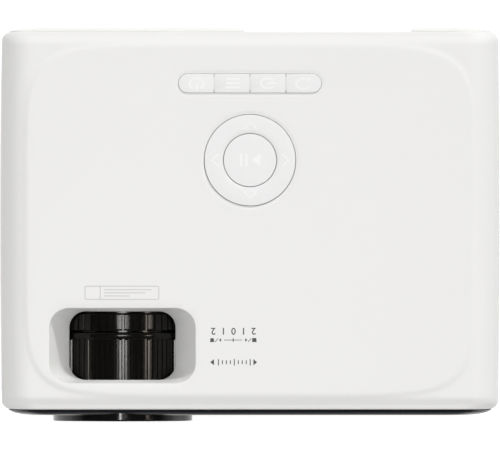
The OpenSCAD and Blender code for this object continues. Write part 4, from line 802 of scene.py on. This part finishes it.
def ribbed_ring(rows, count, share, flank):
    """Ring from rows of (depth, smooth radius, how far the ribs stand out there)."""
    a, drops = rib_drop(count, share, flank)
    build = Build()
    loops = []
    for y, r, ribs in rows:
        crown = RING_R - RIB_DEPTH * drops
        loops.append(round_axis(y, r * (1 - ribs) + crown * ribs, a))
    build.loft(loops, ring=True)
    return build


def focus_ring():
    y0, y1 = FOCUS[0].y, FOCUS[1].y
    collar = y1 - COLLAR
    rows = [(y0, BORE_R, 0)]
    rows += rib_rows(y0, GROOVE_R, (0, -0.4, 0), (0.12, -0.12, 0), (0.4, 0, 0), (1.0, 0, 0))
    rows += rib_rows(y0, GROOVE_R, (1.1, 0, 0.5), (1.3, 0, 0.87), (1.7, 0, 1), (1.8, 0, 1))
    rows += rib_rows(collar, GROOVE_R, (-0.7, 0, 1), (-0.6, 0, 1), (-0.3, 0, 0.9), (-0.1, 0, 0.6))
    rows += rib_rows(collar, GROOVE_R, (0, 0.3, 0))
    rows += rib_rows(collar, RING_R, (0.1, -0.22, 0), (0.4, -0.1, 0))
    rows += [(y, r, 0) for y, r in arc_profile(y1 - 1.1 * MM, RING_R - 1.2 * MM, 1.1 * MM, 0, 90, 6)]
    rows.append((y1, BORE_R, 0))
    build = ribbed_ring(rows, FOCUS_RIBS, FOCUS_SHARE, FOCUS_FLANK)
    make("focus_ring_grip", build, "focus_ring", "black_ribbed", sharp=30, stands_for=["focus_ring"])


NECK_R = RING_R - 1.3 * MM
KEYSTONE_L = 8.7 * MM


def keystone_ring():
    y0, neck = KEYSTONE[0].y, KEYSTONE[1].y
    y1 = y0 + KEYSTONE_L
    rows = [(y0, BORE_R, 0)]
    rows += rib_rows(y0, GROOVE_R, (0, -0.3, 0), (0.15, 0, 0.5), (0.4, 0, 0.9), (0.8, 0, 1), (0.9, 0, 1))
    rows += rib_rows(y1, GROOVE_R, (-1.5, 0, 1), (-1.4, 0, 1), (-1.0, 0, 0.85), (-0.75, -0.2, 0.4))
    rows += [(y1 - 0.6 * MM, NECK_R, 0), (neck, NECK_R, 0), (neck, BORE_R, 0)]
    build = ribbed_ring(rows, KEYSTONE_RIBS, KEYSTONE_SHARE, KEYSTONE_FLANK)
    add_cam(build, neck)
    node = "keystone_ring"
    make(node + "_grip", build, node, "black_ribbed", sharp=30, stands_for=[node])


CAM_THROW, CAM_T = 3.3 * MM, 1.1 * MM
CAM_R = BORE_R + CAM_THROW + 1.3 * MM
CAM_START, CAM_END, CAM_POINTS = 48, 132, 40


def add_cam(build, neck):
    """Sector with an eccentric rim that lifts the LCD frame's arm."""
    a = np.radians(np.linspace(CAM_START, CAM_END, CAM_POINTS))
    loops = []
    for y in (neck - CAM_T, neck):
        rim = round_axis(y, CAM_R, a) + (CAM_THROW, 0, 0)
        loops.append([*rim, *round_axis(y, NECK_R, a[::-1])])
    build.loft(loops)


lens_hood()
focus_ring()
keystone_ring()

# ---- Keys ----

KEY_SURFACE = KEY_TOP - 0.03 * MM
KEY_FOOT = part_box("key_power")[0].z
FLANGE_Z0 = TOP - WALL - 1.4 * MM
STEM_R = 1.6 * MM
VISIBLE_GAP, TILT_GAP = 0.13 * MM, 0.27 * MM
DIVIDER, DIVIDER_CUT, CLOSED_GAP, SWELL_RUN = 0.09 * MM, 1.4 * MM, 0.012 * MM, 0.1 * MM
SIDE_SLANT = 0.25
EDGE_LEVELS = [(0.5, 0.0), (0.2, 0.02), (0.07, 0.09), (0.02, 0.2), (0.0, 0.38)]


def corner_loop(x0, x1, y0, y1, radii, inset, steps=10):
    """Rectangle with its own radius at each corner, counter-clockwise from the right rear one."""
    points = []
    places = [(x1, y1), (x0, y1), (x0, y0), (x1, y0)]
    for k, ((x, y), r) in enumerate(zip(places, radii)):
        left = max(r - inset, 0.0)
        cx = x - math.copysign(left + inset, x - (x0 + x1) / 2)
        cy = y - math.copysign(left + inset, y - (y0 + y1) / 2)
        points += [left * quarter_turn(k + i / steps) + (cx, cy) for i in range(steps + 1)]
    return points


def key_loop(x0, x1, y0, y1, radii, inset):
    """Outline of a key in the row, whose sides come nearer to the next key away from the corners."""
    points = corner_loop(x0, x1, y0, y1, radii, inset)
    slant, swell = SIDE_SLANT * inset, DIVIDER - CLOSED_GAP
    low, high = y0 + DIVIDER_CUT, y1 - DIVIDER_CUT
    sides = []
    for x, r, way in ((x1 - slant, radii[0], 1), (x0 + slant, radii[1], -1)):
        out = x + way * swell
        side = [(x, low), (out, low + SWELL_RUN), (out, high - SWELL_RUN), (x, high)]
        sides.append(side[::way] if r <= DIVIDER_CUT else [])
    right, left = sides
    half = len(points) // 2
    return np.array([*points[:half], *left, *points[half:], *right])


def row_key(index, node):
    pitch = 2 * ROW_HALF / len(KEYS)
    first, last = index == 0, index == len(KEYS) - 1
    x0 = -ROW_HALF + pitch * index + (VISIBLE_GAP if first else DIVIDER)
    x1 = -ROW_HALF + pitch * (index + 1) - (VISIBLE_GAP if last else DIVIDER)
    y0, y1 = ROW_Y - ROW_R + VISIBLE_GAP, ROW_Y + ROW_R - VISIBLE_GAP
    end_r, cut_r = ROW_R - VISIBLE_GAP, 0.2 * MM
    right = end_r if last else cut_r
    left = end_r if first else cut_r
    radii = (right, left, left, right)
    build = Build()
    levels = [(FLANGE_Z0, 0.3 * MM)]
    levels += [(KEY_SURFACE - below * MM, inset * MM) for below, inset in EDGE_LEVELS]
    build.loft([at_height(key_loop(x0, x1, y0, y1, radii, inset), z) for z, inset in levels])
    build.post(-ROW_HALF + pitch * (index + 0.5), ROW_Y, KEY_FOOT, FLANGE_Z0 + 0.1 * MM, STEM_R)
    make(node + "_cap", build, node, "white_keys", sharp=40, stands_for=[node])


OK_R = 12.4 * MM
RING_FLANGE_Z1 = TOP - WALL - 1.15 * MM
RING_Z0 = RING_FLANGE_Z1 - 1.1 * MM
PAD_SWITCH_R, PAD_POST_R = 19.3 * MM, 1.5 * MM
PAD_COUNT = 128


def pad_loops(profile):
    """Loops round the pad's middle from (height, radius) pairs."""
    return [ring_loop(PAD_X, PAD_Y, z, r, PAD_COUNT) for z, r in profile]


def nav_ring():
    """Ring with a flat underside, a flange below the cover and a post over each of its switches."""
    out_r, flange_r = PAD_R - TILT_GAP, PAD_R + KEY_FLANGE
    profile = [(RING_Z0, OK_R), (RING_Z0, flange_r), (RING_FLANGE_Z1, flange_r)]
    profile.append((RING_FLANGE_Z1, PAD_R - 0.3 * MM))
    profile += past(KEY_SURFACE, out_r, (-0.5, 0), (-0.2, -0.03), (-0.06, -0.12), (0, -0.45))
    profile += past(KEY_SURFACE, OK_R, (-0.1, 2.4), (-0.14, 0.3), (-0.3, 0))
    build = Build()
    build.loft(pad_loops(profile), ring=True)
    for k in range(4):
        x, y = PAD_SWITCH_R * quarter_turn(k) + (PAD_X, PAD_Y)
        build.post(x, y, PAD[0].z, RING_Z0 + 0.1 * MM, PAD_POST_R)
    make("nav_ring_cap", build, "nav_ring", "white_keys", sharp=40, stands_for=["nav_ring"])


def ok_button():
    """Round button with a flange below the ring and a stem over its switch."""
    r = OK_R - TILT_GAP
    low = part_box("ok_button")[0].z
    flange_z1 = RING_Z0 - 0.9 * MM
    levels = past(flange_z1, r, (-0.8, 0.8), (0, 0.8), (0, 0))
    levels += [(KEY_SURFACE - (below + 0.1) * MM, r - inset * MM) for below, inset in EDGE_LEVELS]
    levels.append((KEY_SURFACE - 0.16 * MM, r * 0.5))
    build = Build()
    build.loft(pad_loops(levels))
    build.post(PAD_X, PAD_Y, low, flange_z1 - 0.7 * MM, STEM_R)
    make("ok_button_cap", build, "ok_button", "white_keys", sharp=40, stands_for=["ok_button"])


for index, node in enumerate(KEYS):
    row_key(index, node)
nav_ring()
ok_button()

# ---- Raised and printed marks ----

PIXEL = 0.4618 * MM
PICTURE_MIDDLE = (250, 224.6)


def spot(pixels):
    """Place, or places, on the top that the picture shows at these pixels."""
    return (np.array(pixels) - PICTURE_MIDDLE) * (PIXEL, -PIXEL)


def ribbon(path, width):
    """Closed outline of a stroke of that width along a path."""
    path = np.array(path)
    ahead = np.diff(path, axis=0)
    ahead = np.vstack([ahead[:1], (ahead[:-1] + ahead[1:]) / 2, ahead[-1:]])
    ahead /= np.linalg.norm(ahead, axis=1)[:, None]
    across = np.column_stack([-ahead[:, 1], ahead[:, 0]]) * width / 2
    return np.concatenate([path + across, (path - across)[::-1]])


ARC_POINTS = 29


def arc_path(cx, cy, rx, ry, start, end):
    """Arc of an ellipse, with its half axes in mm and its ends in degrees."""
    a = np.radians(np.linspace(start, end, ARC_POINTS))
    return np.stack([cx + rx * MM * np.cos(a), cy + ry * MM * np.sin(a)], axis=1)


def mark(name, outlines, z, thickness, body, slot="white_keys", material=GLYPH):
    """Thin piece on a surface at height z from closed outlines."""
    build = Build()
    for outline in outlines:
        build.loft([at_height(outline, z - thickness), at_height(outline, z)])
    make(name, build, body, slot, sharp=30, material=material)


STROKE = 0.78 * MM
GLYPH_Z = KEY_TOP - 0.005 * MM


def power_sign(x, y):
    return [arc_path(x, y, 3.3, 2.5, -60, 240), past(x, y, (0, -0.2), (0, -3))], []


def list_sign(x, y):
    return [past(x, y, (-3.2, dy), (3.2, dy)) for dy in (-1.9, 0, 1.9)], []


def source_sign(x, y):
    return [arc_path(x, y, 3.2, 2.2, 35, 325), past(x, y, (-0.6, 0), (3.8, 0))], []


def return_sign(x, y):
    ring = arc_path(x, y, 3.3, 2.4, 60, 330)
    return [ring], [past(*ring[0], (2.1, 0), (0.36, -1.2), (0.36, 1))]


# The signs give their strokes and their filled outlines
KEY_SIGNS = [power_sign, list_sign, source_sign, return_sign]
SIGN_PIXELS = [(197, 84.5), (233, 84), (267.5, 84), (303, 84.5)]


def key_marks():
    """One sign on each key, which reads from the rear."""
    for node, sign, pixel in zip(KEYS, KEY_SIGNS, SIGN_PIXELS):
        strokes, fills = sign(*spot(pixel))
        outlines = [ribbon(path, STROKE) for path in strokes] + fills
        mark(node + "_sign", outlines, GLYPH_Z, 0.04 * MM, node)


# Quarter turns to each chevron on the ring, and how far its middle lies from the pad's
CHEVRONS = ((1, 15.9 * MM), (2, 16.1 * MM), (3, 16.1 * MM), (0, 16.2 * MM))
CHEVRON_BACK, CHEVRON_TIP, CHEVRON_HALF = 1.7 * MM, 1.5 * MM, 3 * MM
PLAY_BASE, PLAY_TIP, PLAY_HALF = 4.8 * MM, 0.4 * MM, 3 * MM
PAUSE_BARS, PAUSE_WIDTH = (1.6 * MM, 4.1 * MM), 1.1 * MM


def pad_marks():
    """Four chevrons on the ring, and a play and pause sign on the centre button."""
    chevrons = []
    for turn, reach in CHEVRONS:
        out = quarter_turn(turn)
        side = quarter_turn(turn + 1) * CHEVRON_HALF
        centre = np.array([PAD_X, PAD_Y]) + out * reach
        back = centre - out * CHEVRON_BACK
        chevrons.append(ribbon([back + side, centre + out * CHEVRON_TIP, back - side], STROKE))
    mark("nav_ring_signs", chevrons, GLYPH_Z, 0.12 * MM, "nav_ring")
    low, high, base = PAD_Y - PLAY_HALF, PAD_Y + PLAY_HALF, PAD_X + PLAY_BASE
    outlines = [[(PAD_X + PLAY_TIP, PAD_Y), (base, low), (base, high)]]
    outlines += [ribbon([(PAD_X - d, low), (PAD_X - d, high)], PAUSE_WIDTH) for d in PAUSE_BARS]
    mark("ok_button_sign", outlines, GLYPH_Z - 0.08 * MM, 0.1 * MM, "ok_button")


PRINT_Z = TOP + 0.012 * MM
PRINT_LINE = 0.42 * MM


def digits(text, pixel, height):
    """Outlines of a number that reads from the rear, with its middle at a pixel."""
    curve = bpy.data.curves.new("digits", "FONT")
    curve.body = text
    curve.size = height / 0.7
    curve.align_x = "CENTER"
    curve.align_y = "CENTER"
    curve.space_character = 1.1
    curve.resolution_u = 4
    curve.offset = 0.05 * MM
    source = bpy.data.objects.new("digits", curve)
    mesh = bpy.data.meshes.new_from_object(source)
    x, y = spot(pixel)
    points = [(x - v.co.x, y - v.co.y) for v in mesh.vertices]
    outlines = [[points[i] for i in face.vertices] for face in mesh.polygons]
    bpy.data.objects.remove(source)
    bpy.data.curves.remove(curve)
    bpy.data.meshes.remove(mesh)
    return outlines


# Printed scales, in pixels of the picture: the numbers, the signs beside them and the tilt line
NUMBERS_PX, NUMBERS_PY, NUMBER_HEIGHT = (213.5, 223.6, 233.6, 243.6, 253.6), 330.3, 3.1 * MM
SLOPE_SIGNS = [
    [(210.2, 341.4), (210.8, 337.6), (213.9, 337.6), (214.4, 341.4)],
    [(252.4, 337.4), (256.2, 337.4), (256.6, 341.4), (252.0, 341.4)]]
TILT_ARROWS = [
    [(221.3, 337.6), (219.1, 339.4), (221.3, 341.2)], [(245.2, 341.2), (247.4, 339.4), (245.2, 337.6)]]
TILT_LINES = [
    [(215.2, 341.2), (218.4, 337.8)], [(248.1, 341.2), (251.3, 337.8)], [(224.2, 339.4), (242.2, 339.4)]]
TILT_MIDDLE = [(233.3, 337.6), (233.3, 341.2)]
FOCUS_ARROWS = [
    [(214.2, 358.4), (210.6, 361.5), (214.2, 364.6)], [(253.4, 364.6), (257.0, 361.5), (253.4, 358.4)]]
TICKS, TICK_PX, TICK_PY, TICK_PITCH = 9, 218.6, 361.5, 3.95
LONG_TICK, SHORT_TICK = 3.2, 1.9


def printed_scales():
    """Numbered tilt scale with its slope signs, and a focus scale with arrows."""
    outlines = []
    for text, px in zip("21012", NUMBERS_PX):
        outlines += digits(text, (px, NUMBERS_PY), NUMBER_HEIGHT)
    outlines += [spot(sign) for sign in SLOPE_SIGNS + TILT_ARROWS]
    outlines += [ribbon(spot(line), 0.3 * MM) for line in TILT_LINES]
    outlines.append(ribbon(spot(TILT_MIDDLE), PRINT_LINE))
    outlines += [spot(arrow) for arrow in FOCUS_ARROWS]
    for i in range(TICKS):
        px = TICK_PX + TICK_PITCH * i
        reach = LONG_TICK if i % 4 == 0 else SHORT_TICK
        outlines.append(ribbon(spot([(px, TICK_PY - reach), (px, TICK_PY + reach)]), PRINT_LINE))
    mark("printed_scales", outlines, PRINT_Z, 0.02 * MM, "housing", "black_inner", INK)


# Label field: its corners and the plain bars in it, in pixels of the picture
FIELD_LOW, FIELD_HIGH = (85.4, 299.4), (159.8, 285.4)
FIELD_BARS = [
    [(101, 286), (101, 299)], [(105, 289.4), (152, 289.4)], [(105, 292.5), (146, 292.5)],
    [(105, 295.6), (130, 295.6)]]
FIELD_LINE, FIELD_R, FIELD_ROOT = 0.45 * MM, 1 * MM, 0.05 * MM


def label_frame():
    """Outline of a label field, with plain bars in it, drawn as a flat grey piece whose grey is painted
    shade of its moulded groove lines.
    """
    (x0, y0), (x1, y1) = spot(FIELD_LOW), spot(FIELD_HIGH)
    shape = ((x0 + x1) / 2, (y0 + y1) / 2, (x1 - x0) / 2, (y1 - y0) / 2, FIELD_R)
    legs = (4, 8, 8)
    low = TOP - FIELD_ROOT
    build = Build()
    outer, inner = rounded(shape, legs), rounded(shape, legs, -FIELD_LINE)
    loops = [(outer, low), (outer, PRINT_Z), (inner, PRINT_Z), (inner, low)]
    build.loft([at_height(points, z) for points, z in loops], ring=True)
    for bar in FIELD_BARS:
        outline = ribbon(spot(bar), FIELD_LINE)
        build.loft([at_height(outline, low), at_height(outline, PRINT_Z)])
    # The frame and bars take the grey of painted groove shade
    make("label_frame", build, "housing", "white_shell", sharp=30, material=GROOVE_SHADE)


key_marks()
pad_marks()
printed_scales()
label_frame()

# ---- Finish of the other pieces ----

ROUNDED_EDGES = {
    "white_shell": 0.25, "white_keys": 0.2, "black_panel": 0.3, "steel": 0.08, "black_inner": 0.15,
    "board_parts": 0.3, "aluminium": 0.1, "rubber": 0.3, "brass": 0.1}
SKIP_ROUNDING = {"screws", "fan_impeller"}


def dress_nodes():
    """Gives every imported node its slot's material, and softens its hard edges."""
    for part in frame["record"]["subparts"]:
        name, slot = part["node"], part["material_slot"]
        obj = frame["nodes"][name]
        obj.data.materials.clear()
        obj.data.materials.append(SLOT_MATERIALS[slot])
        if slot in ROUNDED_EDGES and name not in SKIP_ROUNDING | stood_for:
            weld = obj.modifiers.new("weld", "WELD")
            weld.merge_threshold = WELD
            bevel = obj.modifiers.new("edge_rounding", "BEVEL")
            bevel.width = ROUNDED_EDGES[slot] * MM
            bevel.segments = 2
            bevel.limit_method = "ANGLE"
            bevel.angle_limit = math.radians(40)
            bevel.harden_normals = True


dress_nodes()

# ---- Floor, light and camera ----


def is_any(tree, kinds):
    """1 for rays of the named kinds, and 0 for others."""
    rays = tree.nodes.new("ShaderNodeLightPath").outputs
    total = rays[kinds[0]]
    for kind in kinds[1:]:
        inputs = {0: total, 1: rays[kind]}
        total = add_node(tree, "ShaderNodeMath", 0, inputs, operation="ADD", use_clamp=True)
    return total


REFLECTED = ("Is Glossy Ray", "Is Transmission Ray")
DIRECT = ("Is Camera Ray",)
# The world's light, and what shiny surfaces see of it: at the horizon, at a height, and that height
GLOW, SEEN = (0.58, 0.0, 1.0), (1.0, 0.05, 0.4)


def graded(tree, height, horizon, zenith, reach):
    """Strength that runs from one value at the horizon to another, reached at that height."""
    inputs = {"Value": height, "From Max": reach, "To Min": horizon, "To Max": zenith}
    return add_node(tree, "ShaderNodeMapRange", "Result", inputs)


def chosen(tree, kinds, wanted, other):
    """The wanted strength for rays of the named kinds, and the other one for the rest."""
    inputs = {"Factor": is_any(tree, kinds), "A": other, "B": wanted}
    return add_node(tree, "ShaderNodeMix", "Result", inputs)


def white_world():
    """White to the camera, white at the horizon to shiny surfaces, and a soft dome for its light."""
    world = bpy.data.worlds.new("studio")
    bpy.context.scene.world = world
    world.use_nodes = True
    tree = world.node_tree
    back = tree.nodes["Background"].inputs
    back["Color"].default_value = (1, 1, 1, 1)
    way = add_node(tree, "ShaderNodeTexCoord", "Generated", {})
    height = add_node(tree, "ShaderNodeSeparateXYZ", "Z", {"Vector": way})
    strength = chosen(tree, REFLECTED, graded(tree, height, *SEEN), graded(tree, height, *GLOW))
    feed(tree, back["Strength"], chosen(tree, DIRECT, 1.0, strength))


FLOOR_HALF, FLOOR_T = 60.0, 0.01
FLOOR_GLOW, FLOOR_ALBEDO = 0.6, 0.9


def floor():
    """Wide pale floor, which glows to the camera and in reflections so that it looks white there."""
    h = FLOOR_HALF
    build = Build()
    build.loft([[(-h, -h, z), (h, -h, z), (h, h, z), (-h, h, z)] for z in (-FLOOR_T, 0.0)])
    mesh = bpy.data.meshes.new("floor")
    mesh.from_pydata(build.points, [], build.faces)
    material = bpy.data.materials.new("white floor")
    material.use_nodes = True
    tree = material.node_tree
    tree.nodes.remove(tree.nodes["Principled BSDF"])
    pale = (FLOOR_ALBEDO,) * 3 + (1,)
    diffuse = add_node(tree, "ShaderNodeBsdfDiffuse", 0, {"Color": pale})
    inputs = {0: is_any(tree, DIRECT + REFLECTED), 1: FLOOR_GLOW}
    strength = add_node(tree, "ShaderNodeMath", 0, inputs, operation="MULTIPLY")
    glow = add_node(tree, "ShaderNodeEmission", 0, {"Strength": strength})
    both = add_node(tree, "ShaderNodeAddShader", 0, {0: diffuse, 1: glow})
    feed(tree, tree.nodes["Material Output"].inputs["Surface"], both)
    mesh.materials.append(material)
    new_object("floor", mesh)


def aim(obj, place, target):
    obj.location = place
    obj.rotation_euler = (Vector(target) - Vector(place)).to_track_quat("-Z", "Y").to_euler()


def sun(name, azimuth, elevation, strength, angle):
    """Distant lamp; azimuth from +Y towards +X."""
    data = bpy.data.lights.new(name, "SUN")
    data.energy = strength
    data.angle = math.radians(angle)
    a, e = math.radians(azimuth), math.radians(elevation)
    place = (math.sin(a) * math.cos(e), math.cos(a) * math.cos(e), math.sin(e))
    aim(new_object(name, data), place, (0, 0, 0))


def softbox(name, place, target, size, watts, color=(1, 1, 1), glossy=True, diffuse=True):
    data = bpy.data.lights.new(name, "AREA")
    data.shape = "RECTANGLE"
    data.size, data.size_y = size
    data.energy = watts
    data.color = color
    obj = new_object(name, data)
    aim(obj, place, target)
    obj.visible_camera = False
    obj.visible_glossy = glossy
    obj.visible_diffuse = diffuse


STRIP_DISTANCE = 0.5


def strip(name, y, half_length, tilt, width, radiance, color):
    """Lamp seen only in reflections, over the lens axis at depth y and tilted towards +X.

    tilt and width are angles in degrees, as seen from the rings.
    """
    a = math.radians(tilt)
    target = (LENS_X, y, LENS_Z + RING_R)
    place = (target[0] + STRIP_DISTANCE * math.sin(a), y, target[2] + STRIP_DISTANCE * math.cos(a))
    size = (2 * half_length, 2 * STRIP_DISTANCE * math.tan(math.radians(width / 2)))
    watts = radiance * math.pi * size[0] * size[1]
    softbox(name, place, target, size, watts, color, diffuse=False)


NEUTRAL, WARM = (1, 0.99, 0.97), (1, 0.9, 0.76)
HOOD_MIDDLE = HOOD[0].y + 2.8 * MM


def lights():
    """Soft light from above, a low sun from the rear, and bars that show in the rings and the hood."""
    sun("key", azimuth=24, elevation=18, strength=1.4, angle=7)
    softbox("overhead", place=(0, 0, 1.6), target=(0, 0, 0), size=(2.2, 2.2), watts=26, glossy=False)
    strip("ring_highlight", WINDOW_Y, 20 * MM, tilt=0.4, width=15, radiance=24, color=NEUTRAL)
    strip("ring_glow", WINDOW_Y, 20 * MM, tilt=46.5, width=9, radiance=14, color=WARM)
    strip("hood_highlight", HOOD_MIDDLE, 6 * MM, tilt=-3.4, width=4, radiance=30, color=NEUTRAL)
    strip("hood_glow", HOOD_MIDDLE, 6 * MM, tilt=43, width=5, radiance=4, color=WARM)


CAMERA_Y, CAMERA_HEIGHT, CAMERA_LENS = -0.00018, 9.03, 1400
CAMERA_REACH = 100


def camera():
    data = bpy.data.cameras.new("camera")
    data.lens = CAMERA_LENS
    data.clip_end = CAMERA_REACH
    obj = new_object("camera", data)
    obj.location = (0, CAMERA_Y, CAMERA_HEIGHT)
    bpy.context.scene.camera = obj


white_world()
floor()
lights()
camera()
bpy.context.scene.view_settings.view_transform = "Standard"
